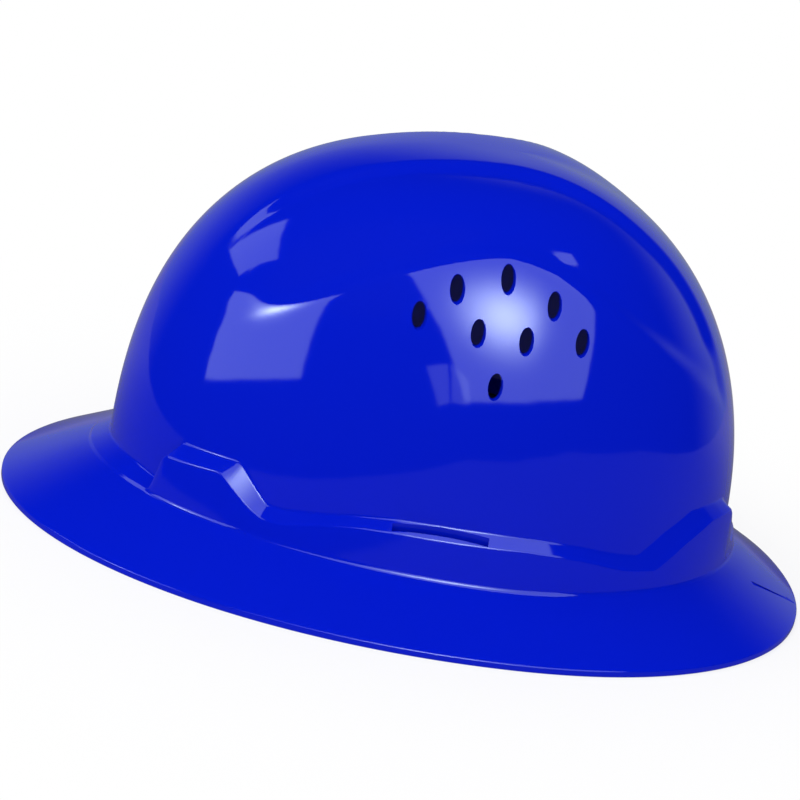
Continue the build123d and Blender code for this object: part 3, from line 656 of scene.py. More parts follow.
def cut_box(bm, hat, angle, inset, level, size):
    """Adds a box square to the wall: its middle lies an inset outside the inner wall, at a level."""
    place, out = key_place(hat, angle)
    turn = Matrix((out, (-out.y, out.x, 0), (0, 0, 1))).transposed().to_4x4()
    middle = Matrix.Translation(place + out * inset + Vector((0, 0, level)))
    bmesh.ops.create_cube(bm, size=1, matrix=middle @ turn @ Matrix.Diagonal((*size, 1)))


def brim_place(hat, angle, share):
    """Point of the brim's upper face, from the belt's foot to the rim."""
    foot, rim = belt_radius(hat, abs(angle)), rim_radius(hat, abs(angle))
    radius = foot + (rim - foot) * share
    height = hat.belt_base + (hat.rim_height - hat.belt_base) * share
    return Vector((radius * sin(radians(angle)), widest_station - radius * cos(radians(angle)), height))


def cut_crease(bm, hat, side):
    """Adds the wedge of the short crease across the rear of the brim, which fades out at the rim."""
    start = brim_place(hat, side * crease_start[0], crease_start[1])
    end = brim_place(hat, side * crease_end[0], crease_end[1])
    along = (end - start).normalized()
    across = along.cross(Vector((0, 0, 1))).normalized()
    up = across.cross(along)
    corners = []
    for place, share in ((start, 1), (end, crease_end_share)):
        depth = crease_depth * share
        half_width = crease_width * share / 2 * (depth + crease_overrun) / depth
        for offset, drop in ((-half_width, -crease_overrun), (half_width, -crease_overrun), (0, depth)):
            corners.append(bm.verts.new(place + across * offset - up * drop))
    bmesh.ops.convex_hull(bm, input=corners)


def cut_vent(bm, wall_tree, hat, side, station, height):
    """Closed body of one vent's opening, with a small rounded rim at the outer wall."""
    rim = bmesh.ops.create_circle(bm, segments=vent_segments, radius=1)["verts"]
    rings = [rim]
    for _ in vent_rim_profile[1:]:
        edges = [edge for edge in bm.edges if all(vert in rings[-1] for vert in edge.verts)]
        made = bmesh.ops.extrude_edge_only(bm, edges=edges)["geom"]
        rings.append([item for item in made if isinstance(item, bmesh.types.BMVert)])
    for ring, (spread, depth) in zip(rings, vent_rim_profile):
        for vert in ring:
            turn = atan2(vert.co.y, vert.co.x)
            y = station + (hat.vent_width / 2 + spread) * cos(turn)
            z = hat.belt_base + height + (hat.vent_length / 2 + spread) * sin(turn)
            hit, out, _, _ = wall_tree.ray_cast(Vector((side * hat.width, y, z)), Vector((-side, 0, 0)))
            if depth <= -vent_rim_depth:
                out = Vector((side, 0, 0))
            elif out.x * side <= 0:
                out = -out
            vert.co = hit + out * depth
    for ring in (rings[0], rings[-1]):
        bmesh.ops.contextual_create(bm, geom=ring)


def shell_mesh(hat):
    """The turned shell before its openings are cut."""
    profiles = [shell_profile(hat, turned_angle(step)) for step in range(half_turn_steps + 1)]
    count = len(profiles[0])
    bm = bmesh.new()
    verts = [bm.verts.new((0, -1 if 0 < ring < count - 1 else 0, ring)) for ring in range(count)]
    edges = [bm.edges.new(pair) for pair in zip(verts, verts[1:])]
    steps = 2 * half_turn_steps
    bmesh.ops.spin(
        bm, geom=verts + edges, cent=(0, 0, 0), axis=(0, 0, 1), angle=2 * pi, steps=steps, use_merge=True
    )
    bmesh.ops.remove_doubles(bm, verts=bm.verts, dist=merge_distance)
    for vert in bm.verts:
        step = round(atan2(vert.co.x, -vert.co.y) / (2 * pi) * steps) % steps
        half_step = min(step, steps - step)
        radius, height = profiles[half_step][round(vert.co.z)]
        angle = radians(turned_angle(step))
        vert.co = (radius * sin(angle), widest_station - radius * cos(angle), height)
    face_outwards(bm)
    return bm


class HARDHAT_OT_shell(bpy.types.Operator):
    """Moulded shell with its dome, belt, brim, vents, accessory slots and key sockets"""

    bl_idname = "hardhat.shell"
    bl_label = "Shell"

    def execute(self, context):
        hat = context.scene.hat_shell
        bm = shell_mesh(hat)
        wall_tree = BVHTree.FromBMesh(bm)
        shell = new_piece("moulded_shell", bm, "hat")
        openings = bmesh.new()
        for side in (-1, 1):
            for station, height in vent_places:
                cut_vent(openings, wall_tree, hat, side, station, height)
            slot_inset = hat.wall + slot_wall_gap + hat.slot_width / 2
            slot_size = (hat.slot_width, hat.slot_length, 2 * hat.belt_height + cut_overrun)
            slot_level = hat.belt_base + cut_overrun / 2
            cut_box(openings, hat, side * slot_angle, slot_inset, slot_level, slot_size)
            for angle in key_angles:
                cut_box(openings, hat, side * angle, socket_inset, socket_level, socket_size)
            cut_crease(openings, hat, side)
        bmesh.ops.recalc_face_normals(openings, faces=openings.faces)
        cutter = new_piece("openings", openings, "hat")
        cut = shell.modifiers.new("openings", "BOOLEAN")
        cut.object = cutter
        cut.operation = "DIFFERENCE"
        cut.solver = "MANIFOLD"
        settle(shell)
        bpy.data.objects.remove(cutter)
        shade(shell, shell_sharp_angle)
        dress(shell, gloss_shell(hat))
        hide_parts("shell")
        return {"FINISHED"}


def bezier(controls, share):
    """Point of a curve with four control points."""
    points = list(controls)
    while len(points) > 1:
        points = [start.lerp(end, share) for start, end in zip(points, points[1:])]
    return points[0]


def half_strap(crown, foot, place, out, broad, peak, thickness):
    """Middle line and width directions of half a strap, from the flap sewn above its key to the crown."""
    tangent = Vector((-out.y, out.x, 0))
    if tangent.dot(broad) < 0:
        tangent.negate()
    loop = rounded([Vector(point) for point in strap_loop], strap_loop_radii, strap_loop_steps)
    line = [(place + out * reach + Vector((0, 0, height)), tangent) for reach, height in loop]
    run = foot - crown
    length = run.length - thickness / 2
    controls = (
        Vector((length, strap_foot_height)),
        Vector((length, strap_foot_height + (peak - strap_foot_height) * strap_rise_share)),
        Vector((length * strap_shoulder_share, peak)),
        Vector((0, peak)),
    )
    for step in range(strap_steps + 1):
        point = bezier(controls, step / strap_steps)
        if point.y < strap_loop[-1][1] + strap_join_gap:
            continue
        rise = Vector((0, 0, point.y))
        turned = ease((point.y - strap_twist_start) / strap_twist_length)
        at_key = place + out * strap_loop[-1][0] + rise
        at_crown = crown + run.normalized() * point.x + rise
        line.append((at_key.lerp(at_crown, turned), tangent.lerp(broad, turned).normalized()))
    return line


def strap_line(hat, webbing, side, lift):
    """Middle line and width directions of a strap from a front key over the crown to the far rear key."""
    keys = [key_place(hat, side * key_angles[0]), key_place(hat, -side * key_angles[1])]
    across = (keys[0][0] - keys[1][0]).normalized()
    feet = []
    for place, out in keys:
        lean = abs(out.cross(across).z)
        feet.append(place - out * (strap_foot_gap + lean * webbing.strap_width / 2))
    front, rear = feet
    crown = front + (rear - front) * (front.x / (front.x - rear.x))
    broad = (front - rear).normalized().cross(Vector((0, 0, 1)))
    peak = strap_crown_height + lift - webbing.strap_thickness / 2
    halves = [
        half_strap(crown, foot, place, out, broad, peak, webbing.strap_thickness)
        for foot, (place, out) in zip(feet, keys)
    ]
    return halves[0] + halves[1][-2::-1]


def ribbon(line, width):
    """Flat sheet along a line, with its own map of lengths for the weave."""
    lengths = [0]
    for (start, _), (end, _) in zip(line, line[1:]):
        lengths.append(lengths[-1] + (end - start).length)
    bm = bmesh.new()
    bmesh.ops.create_grid(bm, x_segments=len(line) - 1, y_segments=strap_columns, size=1)
    weave = bm.loops.layers.uv.new("weave")
    last = len(line) - 1
    for face in bm.faces:
        for loop in face.loops:
            place = loop.vert.co
            loop[weave].uv = (lengths[round((place.x + 1) / 2 * last)], place.y * width / 2)
    for vert in bm.verts:
        point, broad = line[round((vert.co.x + 1) / 2 * last)]
        vert.co = point + broad * (vert.co.y * width / 2)
    return bm


def stitch(bm, start, end, outwards, webbing):
    """Adds a run of stitches between two points of a surface."""
    run = end - start
    count = max(round(run.length / webbing.stitch_pitch), 1)
    along = run.normalized()
    turn = Matrix((along, outwards.cross(along), outwards)).transposed().to_4x4()
    radius = webbing.thread_radius
    half_length = webbing.stitch_pitch * stitch_length_share
    size = Matrix.Diagonal((half_length, radius, radius * stitch_flat_share, 1))
    for step in range(count):
        place = Matrix.Translation(start + run * ((step + 0.5) / count))
        bmesh.ops.create_icosphere(bm, subdivisions=1, radius=1, matrix=place @ turn @ size)


def stitch_cross(bm, middle, across, up, outwards, webbing):
    """Adds a sewn box with a cross in it: its half sizes are the lengths of two directions."""
    corners = [middle + across * a + up * b for a, b in ((-1, -1), (1, -1), (1, 1), (-1, 1))]
    for start, end in ((0, 1), (1, 2), (2, 3), (3, 0), (0, 2), (1, 3)):
        stitch(bm, corners[start], corners[end], outwards, webbing)


def thicken(piece, thickness, edge_share):
    """Gives flat cloth its thickness, with rounded edges."""
    wall = piece.modifiers.new("wall", "SOLIDIFY")
    wall.thickness = thickness
    wall.offset = 0
    edge = piece.modifiers.new("edge", "BEVEL")
    edge.width = thickness * edge_share
    edge.segments = cloth_edge_segments
    edge.limit_method = "ANGLE"
    edge.angle_limit = radians(cloth_edge_angle)
    settle(piece)
    shade(piece, cloth_sharp_angle)


def sew(name, stitches, webbing):
    """Stitching as a piece of thread."""
    sewing = new_piece(name, stitches, "hat")
    sewing.data.shade_smooth()
    dress(sewing, thread(webbing))


class HARDHAT_OT_straps(bpy.types.Operator):
    """Crown straps of woven webbing, looped through their keys and sewn"""

    bl_idname = "hardhat.straps"
    bl_label = "Crown straps"

    def execute(self, context):
        hat, webbing = context.scene.hat_shell, context.scene.hat_suspension
        material = woven_webbing(webbing)
        stitches = bmesh.new()
        for name, side, lift in (("left", 1, 0), ("right", -1, strap_crossing_gap)):
            line = strap_line(hat, webbing, side, lift)
            strap = new_piece(f"woven_strap_{name}", ribbon(line, webbing.strap_width), "hat")
            thicken(strap, webbing.strap_thickness, strap_edge_share)
            dress(strap, material)
            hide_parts(f"crown_strap_{name}")
            for angle in (side * key_angles[0], -side * key_angles[1]):
                place, out = key_place(hat, angle)
                inner_face = strap_loop[-1][0] - webbing.strap_thickness / 2
                middle = place + out * inner_face + Vector((0, 0, (flap_seam_foot + flap_seam_top) / 2))
                across = Vector((-out.y, out.x, 0)) * flap_seam_half_width
                up = Vector((0, 0, (flap_seam_top - flap_seam_foot) / 2))
                stitch_cross(stitches, middle, across, up, -out, webbing)
        sew("strap_stitching", stitches, webbing)
        return {"FINISHED"}


class HARDHAT_OT_patch(bpy.types.Operator):
    """Woven patch sewn below the crossing of the straps"""

    bl_idname = "hardhat.patch"
    bl_label = "Crown patch"

    def execute(self, context):
        webbing = context.scene.hat_suspension
        bm = bmesh.new()
        middle = Vector(patch_place) + Vector((0, 0, patch_thickness / 2))
        bmesh.ops.create_grid(
            bm, x_segments=1, y_segments=1, size=patch_size / 2, matrix=Matrix.Translation(middle)
        )
        bmesh.ops.bevel(
            bm, geom=list(bm.verts), offset=patch_corner, segments=patch_corner_segments,
            profile=patch_corner_profile, affect="VERTICES", material=-1,
        )
        bmesh.ops.inset_region(bm, faces=list(bm.faces), thickness=patch_inset, depth=0)
        patch = new_piece("woven_patch", bm, "hat")
        thicken(patch, patch_thickness, patch_edge_share)
        dress(patch, woven_patch_cloth(webbing))
        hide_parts("crown_patch")
        stitches = bmesh.new()
        across, along = Vector((patch_seam, 0, 0)), Vector((0, patch_seam, 0))
        stitch_cross(stitches, Vector(patch_place), across, along, Vector((0, 0, -1)), webbing)
        sew("patch_stitching", stitches, webbing)
        return {"FINISHED"}


def brow_pad_point(along, up, depth):
    """Point of the brow pad: shares along and up it from its middle, and a depth inside the headband."""
    turn = radians(brow_pad_half_angle * along)
    low, high = brow_pad_heights
    side, front = brow_pad_reach
    height = (low + high) / 2 + (high - low) / 2 * up
    return Vector(((side - depth) * sin(turn), pad_station - (front - depth) * cos(turn), height))


def nape_pad_point(along, up, depth):
    """Point of the nape pad: shares along and up it from its middle, and a depth inside the housing."""
    turn = radians(nape_pad_half_angle * along)
    low, high = nape_pad_heights
    reach = nape_pad_radius - depth
    height = (low + high) / 2 + (high - low) / 2 * up
    return Vector((reach * sin(turn), pad_station + reach * cos(turn), height))


def pad_sheets(cells, place, thickness):
    """Two sheets joined at their border, with the corners that the seams hold and each one's shares."""
    count, per_cell = cells
    bm = bmesh.new()
    bmesh.ops.create_grid(bm, x_segments=count * per_cell, y_segments=pad_rows, size=1)
    made = bmesh.ops.extrude_face_region(bm, geom=list(bm.faces), use_keep_orig=True)["geom"]
    sheet = [item for item in made if isinstance(item, bmesh.types.BMVert)]
    bmesh.ops.translate(bm, verts=sheet, vec=(0, 0, 1))
    bm.verts.index_update()
    held, starts = [], {}
    for vert in bm.verts:
        along, up, layer = vert.co
        column = round((along + 1) / 2 * count * per_cell)
        front = layer > 0.5
        border = max(abs(along), abs(up)) > pad_border_share
        seam = column % per_cell == 0
        share = pad_start_share if front else 0.0
        if border:
            share = pad_seam_share * (pad_front_edge_share if front else pad_rear_edge_share)
        elif seam and front:
            share = pad_seam_share
        if border or seam or not front:
            held.append(vert.index)
        end = (abs(along) - pad_corner_start_share) / (1 - pad_corner_start_share)
        narrow = 1 - pad_corner_narrow_share * ease(end) ** 2
        starts[vert.index] = (along, up * narrow)
        vert.co = place(along, up * narrow, thickness * share)
    face_outwards(bm)
    return bm, held, starts


def swell_sheets(pad, held, pressure):
    """Swells a pad's cloth between its seams, as air would."""
    seams = pad.vertex_groups.new(name="seams")
    seams.add(held, 1.0, "REPLACE")
    swell = pad.modifiers.new("swell", "CLOTH")
    swell.settings.use_pressure = True
    swell.settings.uniform_pressure_force = pressure
    swell.settings.vertex_group_mass = seams.name
    swell.settings.effector_weights.gravity = 0
    for setting, value in pad_cloth.items():
        setattr(swell.settings, setting, value)
    for step in range(1, swell_frames + 1):
        bpy.context.scene.frame_set(step)
    settle(pad)
    bpy.context.scene.frame_set(1)


def swollen_pad(name, body, cells, place, thickness, pressure):
    """Pad of two sewn sheets: the sheet towards the head swells between its seams, held by the other."""
    bm, held, starts = pad_sheets(cells, place, thickness)
    pad = new_piece(name, bm, body)
    swell_sheets(pad, held, pressure)
    held = set(held)
    for vert in pad.data.vertices:
        if vert.index in held:
            continue
        along, up = starts[vert.index]
        outer = place(along, up, 0)
        inward = (place(along, up, thickness) - outer).normalized()
        depth = (vert.co - outer).dot(inward)
        vert.co += inward * (min(max(depth, pad_least_depth), thickness) - depth)
    smooth = pad.modifiers.new("smooth", "SUBSURF")
    smooth.levels = smooth.render_levels = 1
    return pad


def clear_studs(hat, pad):
    """Draws the brow pad in behind the studs of the front hangers."""
    side_reach, front_reach = brow_pad_reach
    for side in (-1, 1):
        place, out = key_place(hat, side * key_angles[0])
        tangent = Vector((-out.y, out.x, 0))
        for vert in pad.data.vertices:
            offset = vert.co - place - Vector((0, 0, stud_level))
            spread = hypot(offset.dot(tangent), offset.z)
            turn = atan2(vert.co.x / side_reach, (pad_station - vert.co.y) / front_reach)
            outer = brow_pad_point(turn / radians(brow_pad_half_angle), 0, 0)
            depth = hypot(vert.co.x - outer.x, vert.co.y - outer.y)
            wanted = stud_clear_depth * (1 - ease((spread - stud_clear_radius) / stud_clear_fade))
            if offset.dot(out) < 0 and wanted > depth:
                vert.co -= out * (wanted - depth)


class HARDHAT_OT_pads(bpy.types.Operator):
    """Brow pad and nape pad of knitted cloth over foam"""

    bl_idname = "hardhat.pads"
    bl_label = "Pads"

    def execute(self, context):
        hat, webbing = context.scene.hat_shell, context.scene.hat_suspension
        cloth = knitted_cloth(webbing)
        brow = swollen_pad(
            "brow_pad", "hat", brow_pad_cells, brow_pad_point,
            webbing.brow_pad_thickness, webbing.pad_pressure,
        )
        clear_studs(hat, brow)
        brow.data.shade_smooth()
        dress(brow, cloth)
        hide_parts("sweatband")
        nape = swollen_pad(
            "nape_cushion", "ratchet_unit", nape_pad_cells, nape_pad_point,
            webbing.nape_pad_thickness, webbing.pad_pressure,
        )
        nape.data.shade_smooth()
        dress(nape, cloth)
        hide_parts("nape_pad")
        return {"FINISHED"}


def soften_edges(node):
    """Small rounded edges on a moulded or turned fitting."""
    joined = node.modifiers.new("joined", "WELD")
    joined.merge_threshold = weld_distance
    edge = node.modifiers.new("edge", "BEVEL")
    edge.width = fitting_edge_radius
    edge.segments = fitting_edge_segments
    edge.limit_method = "ANGLE"
    edge.angle_limit = radians(fitting_edge_angle)
    edge.harden_normals = True


class HARDHAT_OT_fittings(bpy.types.Operator):
    """Finishes of the keys, hangers, headband, ratchet, knob and screws"""

    bl_idname = "hardhat.fittings"
    bl_label = "Moulded fittings"

    def execute(self, context):
        colour = context.scene.hat_suspension.fitting_colour
        finishes = {
            name: grained_plastic(name, [part * tone for part in colour], roughness, grain, speckle)
            for name, tone, roughness, grain, speckle in fitting_finishes
        }
        finishes["nylon_gear"] = grained_plastic("nylon_gear", gear_colour, *gear_finish)
        finishes["turned_steel"] = turned_steel()
        shown = {part["node"]: part["material_slot"] for part in frame["record"]["subparts"]}
        for node, slot_name in shown.items():
            if slot_name in fitting_slots:
                for material_slot in frame["nodes"][node].material_slots:
                    material_slot.material = finishes[fitting_slots[slot_name]]
                soften_edges(frame["nodes"][node])
        return {"FINISHED"}


def math_node(tree, operation, first, second=None, third=None):
    """Math node fed by sockets or plain numbers; returns its output."""
    node = tree.nodes.new("ShaderNodeMath")
    node.operation = operation
    for socket, value in zip(node.inputs, (first, second, third)):
        if isinstance(value, bpy.types.NodeSocket):
            tree.links.new(value, socket)
        elif value is not None:
            socket.default_value = value
    return node.outputs[0]


def dot_node(tree, vector, direction):
    """Dot product of a vector with a direction, which is a socket or three numbers."""
    node = tree.nodes.new("ShaderNodeVectorMath")
    node.operation = "DOT_PRODUCT"
    tree.links.new(vector, node.inputs[0])
    if isinstance(direction, bpy.types.NodeSocket):
        tree.links.new(direction, node.inputs[1])
    else:
        node.inputs[1].default_value = direction
    return node.outputs["Value"]


def step_node(tree, value, run, levels=(0.0, 1.0)):
    """Smooth step between two levels while a value passes a run of values; returns its output."""
    node = tree.nodes.new("ShaderNodeMapRange")
    node.interpolation_type = "SMOOTHSTEP"
    tree.links.new(value, node.inputs["Value"])
    for name, number in zip(("From Min", "From Max", "To Min", "To Max"), (*run, *levels)):
        node.inputs[name].default_value = number
    return node.outputs["Result"]


def mix_node(tree, factor, first, second):
    """Mix of two shaders; returns its output."""
    node = tree.nodes.new("ShaderNodeMixShader")
    for socket, source in zip(node.inputs, (factor, first, second)):
        tree.links.new(source, socket)
    return node.outputs[0]


def noise_node(tree, vector, scale):
    """Noise of a given scale; returns its value output."""
    node = tree.nodes.new("ShaderNodeTexNoise")
    node.inputs["Scale"].default_value = scale
    tree.links.new(vector, node.inputs["Vector"])
    return node.outputs["Fac"]


def scaled_colour(tree, colour, factor):
    """A colour multiplied by a value."""
    node = tree.nodes.new("ShaderNodeVectorMath")
    node.operation = "SCALE"
    tree.links.new(colour, node.inputs[0])
    tree.links.new(factor, node.inputs["Scale"])
    return node.outputs[0]


def new_group(name, inputs, outputs):
    """Shader node group with named sockets; returns it with its input and output nodes."""
    group = bpy.data.node_groups.new(name, "ShaderNodeTree")
    for label, kind, value in inputs:
        socket = group.interface.new_socket(label, in_out="INPUT", socket_type="NodeSocket" + kind)
        if value is not None:
            socket.default_value = value
    for label, kind in outputs:
        group.interface.new_socket(label, in_out="OUTPUT", socket_type="NodeSocket" + kind)
    return group, group.nodes.new("NodeGroupInput"), group.nodes.new("NodeGroupOutput")


def new_material(name):
    """New material; returns it with its node tree and its main shader."""
    material = bpy.data.materials.new(name)
    material.use_nodes = True
    tree = material.node_tree
    shader = next(node for node in tree.nodes if node.type == "BSDF_PRINCIPLED")
    return material, tree, shader


def gloss_shell(hat):
    """Polished deep blue plastic, with a faint moulding waviness."""
    material, tree, shader = new_material("gloss_shell")
    place = tree.nodes.new("ShaderNodeTexCoord").outputs["Object"]
    bump = tree.nodes.new("ShaderNodeBump")
    bump.inputs["Strength"].default_value = shell_wave_strength
    bump.inputs["Distance"].default_value = shell_wave_depth
    tree.links.new(noise_node(tree, place, shell_wave_scale), bump.inputs["Height"])
    tree.links.new(bump.outputs["Normal"], shader.inputs["Normal"])
    shader.inputs["Base Color"].default_value = (*hat.colour, 1)
    shader.inputs["Roughness"].default_value = hat.roughness
    shader.inputs["IOR"].default_value = shell_refraction
    return material


def shared_group(name, build):
    """A node group by name, built the first time that it is asked for."""
    return bpy.data.node_groups.get(name) or build(name)


def moulded_grain_group(name):
    """Fine moulded texture: a speckled colour, an uneven polish and a height."""
    settings = (("Roughness", "Float", None), ("Speckle", "Float", None), ("Pitch", "Float", grain_pitch))
    group, given, result = new_group(name, pattern_inputs + settings, pattern_outputs)
    place = given.outputs["Vector"]
    scale = math_node(group, "DIVIDE", 1.0, given.outputs["Pitch"])
    cells = group.nodes.new("ShaderNodeTexVoronoi")
    cells.feature = "SMOOTH_F1"
    group.links.new(place, cells.inputs["Vector"])
    group.links.new(scale, cells.inputs["Scale"])
    broad = math_node(group, "SUBTRACT", noise_node(group, place, grain_drift_scale), noise_middle)
    fine = math_node(group, "SUBTRACT", noise_node(group, place, grain_speck_scale), noise_middle)
    height = math_node(group, "MULTIPLY_ADD", cells.outputs["Distance"], -grain_cell_share, 1.0)
    speck = math_node(group, "MULTIPLY", fine, given.outputs["Speckle"])
    drift = math_node(group, "MULTIPLY_ADD", broad, grain_drift_share, 1.0)
    tone = math_node(group, "MULTIPLY_ADD", speck, grain_speck_share, drift)
    group.links.new(scaled_colour(group, given.outputs["Colour"], tone), result.inputs["Colour"])
    polish = math_node(group, "MULTIPLY_ADD", broad, grain_polish_share, given.outputs["Roughness"])
    group.links.new(polish, result.inputs["Roughness"])
    group.links.new(height, result.inputs["Height"])
    return group


def weave_group(name):
    """Plain woven webbing: ribs across and threads along, from a map in metres."""
    settings = (("Pitch", "Float", weave_pitch),)
    group, given, result = new_group(name, pattern_inputs + settings, pattern_outputs)
    split = group.nodes.new("ShaderNodeSeparateXYZ")
    group.links.new(given.outputs["Vector"], split.inputs[0])
    turns = math_node(group, "DIVIDE", 2 * pi, given.outputs["Pitch"])
    along = math_node(group, "MULTIPLY", split.outputs["X"], turns)
    across = math_node(group, "MULTIPLY", split.outputs["Y"], turns)
    row = math_node(group, "MULTIPLY", math_node(group, "SINE", across), pi / 2)
    shifted = math_node(group, "ADD", along, row)
    ribs = math_node(group, "ABSOLUTE", math_node(group, "SINE", shifted))
    threads = math_node(group, "ABSOLUTE", math_node(group, "COSINE", across))
    warp = math_node(group, "POWER", ribs, weave_warp_power)
    weft = math_node(group, "POWER", threads, weave_weft_power)
    height = math_node(group, "MULTIPLY", warp, weft)
    fuzz = noise_node(group, given.outputs["Vector"], weave_fuzz_scale)
    wear = noise_node(group, given.outputs["Vector"], weave_wear_scale)
    raised = math_node(group, "MULTIPLY_ADD", fuzz, weave_fuzz_share, height)
    worn = math_node(group, "MULTIPLY_ADD", wear, cloth_wear_share, cloth_base_tone)
    # Painted shade: the colour darkens where the ribs sink, mixed with random wear
    tone = math_node(group, "MULTIPLY_ADD", raised, weave_relief_shade_share, worn)
    group.links.new(scaled_colour(group, given.outputs["Colour"], tone), result.inputs["Colour"])
    dull, polished = weave_polish
    group.links.new(math_node(group, "MULTIPLY_ADD", raised, -polished, dull), result.inputs["Roughness"])
    group.links.new(raised, result.inputs["Height"])
    return group


def knit_group(name):
    """Knitted cloth with small open cells and a fuzzy surface."""
    settings = (("Pitch", "Float", knit_pitch),)
    group, given, result = new_group(name, pattern_inputs + settings, pattern_outputs)
    cells = group.nodes.new("ShaderNodeTexVoronoi")
    cells.inputs["Randomness"].default_value = knit_randomness
    group.links.new(given.outputs["Vector"], cells.inputs["Vector"])
    group.links.new(math_node(group, "DIVIDE", 1.0, given.outputs["Pitch"]), cells.inputs["Scale"])
    hole = step_node(group, cells.outputs["Distance"], knit_hole_edge)
    fuzz = noise_node(group, given.outputs["Vector"], knit_fuzz_scale)
    wear = noise_node(group, given.outputs["Vector"], knit_wear_scale)
    height = math_node(group, "MULTIPLY_ADD", fuzz, knit_fuzz_share, hole)
    worn = math_node(group, "MULTIPLY_ADD", wear, cloth_wear_share, cloth_base_tone)
    # Painted shade: the colour darkens in the open cells, mixed with random wear
    tone = math_node(group, "MULTIPLY_ADD", height, knit_relief_shade_share, worn)
    group.links.new(scaled_colour(group, given.outputs["Colour"], tone), result.inputs["Colour"])
    dull, fuzzy = knit_polish
    group.links.new(math_node(group, "MULTIPLY_ADD", fuzz, fuzzy, dull), result.inputs["Roughness"])
    group.links.new(height, result.inputs["Height"])
    return group


def grouped_material(name, build, vector_name, colour, values, depth):
    """Material whose colour, roughness and relief a shared node group makes; returns it with its shader."""
    material, tree, shader = new_material(name)
    node = tree.nodes.new("ShaderNodeGroup")
    node.node_tree = shared_group(build.__name__.removesuffix("_group"), build)
    place = tree.nodes.new("ShaderNodeTexCoord")
    tree.links.new(place.outputs[vector_name], node.inputs["Vector"])
    node.inputs["Colour"].default_value = (*colour, 1)
    for label, value in values.items():
        node.inputs[label].default_value = value
    bump = tree.nodes.new("ShaderNodeBump")
    bump.inputs["Distance"].default_value = depth
    tree.links.new(node.outputs["Height"], bump.inputs["Height"])
    tree.links.new(bump.outputs["Normal"], shader.inputs["Normal"])
    tree.links.new(node.outputs["Colour"], shader.inputs["Base Color"])
    tree.links.new(node.outputs["Roughness"], shader.inputs["Roughness"])
    return material, shader


def grained_plastic(name, colour, roughness, grain, speckle):
    """Moulded plastic with a fine grain."""
    values = {"Roughness": roughness, "Speckle": speckle}
    depth = grain_depth * grain
    material, shader = grouped_material(name, moulded_grain_group, "Object", colour, values, depth)
    shader.inputs["IOR"].default_value = plastic_refraction
    return material


def woven_webbing(webbing):
    """Ribbed nylon webbing that follows the strap."""
    colour = webbing.webbing_colour
    material, shader = grouped_material("woven_webbing", weave_group, "UV", colour, {}, webbing_depth)
    shader.inputs["Sheen Weight"].default_value = webbing_sheen
    shader.inputs["Sheen Roughness"].default_value = webbing_sheen_roughness
    return material


def woven_patch_cloth(webbing):
    """Finer woven cloth of the crown patch."""
    colour, values = webbing.webbing_colour, {"Pitch": patch_weave_pitch}
    material, shader = grouped_material(
        "woven_patch_cloth", weave_group, "Object", colour, values, patch_weave_depth
    )
    shader.inputs["Sheen Weight"].default_value = webbing_sheen
    return material


def knitted_cloth(webbing):
    """Soft knitted cover of the pads."""
    colour = webbing.pad_colour
    material, shader = grouped_material("knitted_cloth", knit_group, "Object", colour, {}, knit_depth)
    shader.inputs["Sheen Weight"].default_value = knit_sheen
    shader.inputs["Sheen Roughness"].default_value = knit_sheen_roughness
    return material


def thread(webbing):
    """Twisted polyester thread."""
    values = {"Pitch": thread_pitch}
    return grouped_material("thread", weave_group, "Object", webbing.thread_colour, values, thread_depth)[0]


def turned_steel():
    """Plated screws with fine turning marks."""
    values = {"Roughness": steel_roughness, "Speckle": steel_speckle, "Pitch": steel_mark_pitch}
    material, shader = grouped_material(
        "turned_steel", moulded_grain_group, "Object", steel_colour, values, steel_mark_depth
    )
    shader.inputs["Metallic"].default_value = 1.0
    return material


def place_camera(scene, stage):
    """Camera that looks at the hat from the photograph's side, slightly rolled."""
    level_reach, height = cos(stage.elevation), sin(stage.elevation)
    back = Vector((sin(stage.azimuth) * level_reach, -cos(stage.azimuth) * level_reach, height))
    right = (-back).cross(Vector((0, 0, 1))).normalized()
    up = right.cross(-back)
    level = right * cos(stage.roll) + up * sin(stage.roll)
    upright = up * cos(stage.roll) - right * sin(stage.roll)
    data = bpy.data.cameras.new("camera")
    data.lens = stage.lens
    data.sensor_width = film_width
    data.clip_end = sight_limit
    camera = bpy.data.objects.new("camera", data)
    turn = Matrix((level, upright, back)).transposed().to_4x4()
    camera.matrix_world = Matrix.Translation(Vector(camera_target) + back * stage.distance) @ turn
    scene.collection.objects.link(camera)
    scene.camera = camera


def lay_floor(scene, stage):
    """Round floor under the hat."""
    bm = bmesh.new()
    bmesh.ops.create_circle(bm, cap_ends=True, segments=floor_segments, radius=stage.floor_size)
    mesh = bpy.data.meshes.new("floor")
    bm.to_mesh(mesh)
    bm.free()
    floor = bpy.data.objects.new("floor", mesh)
    scene.collection.objects.link(floor)
    floor.data.materials.append(pale_floor())


def hang_lamp(scene, stage):
    """Broad soft lamp, which polished surfaces don't mirror."""
    sun = bpy.data.lights.new("soft_lamp", "SUN")
    sun.energy = stage.sun_strength
    sun.angle = radians(lamp_spread)
    lamp = bpy.data.objects.new("soft_lamp", sun)
    lamp.rotation_euler = (radians(lamp_tilt[0]), radians(lamp_tilt[1]), 0)
    lamp.visible_glossy = False
    scene.collection.objects.link(lamp)


class HARDHAT_OT_stage(bpy.types.Operator):
    """Floor, lights and the camera at the photograph's angle"""

    bl_idname = "hardhat.stage"
    bl_label = "Stage"

    def execute(self, context):
        stage = context.scene.hat_stage
        place_camera(context.scene, stage)
        lay_floor(context.scene, stage)
        hang_lamp(context.scene, stage)
        room_light(context.scene, stage)
        context.scene.view_settings.view_transform = "Standard"
        return {"FINISHED"}


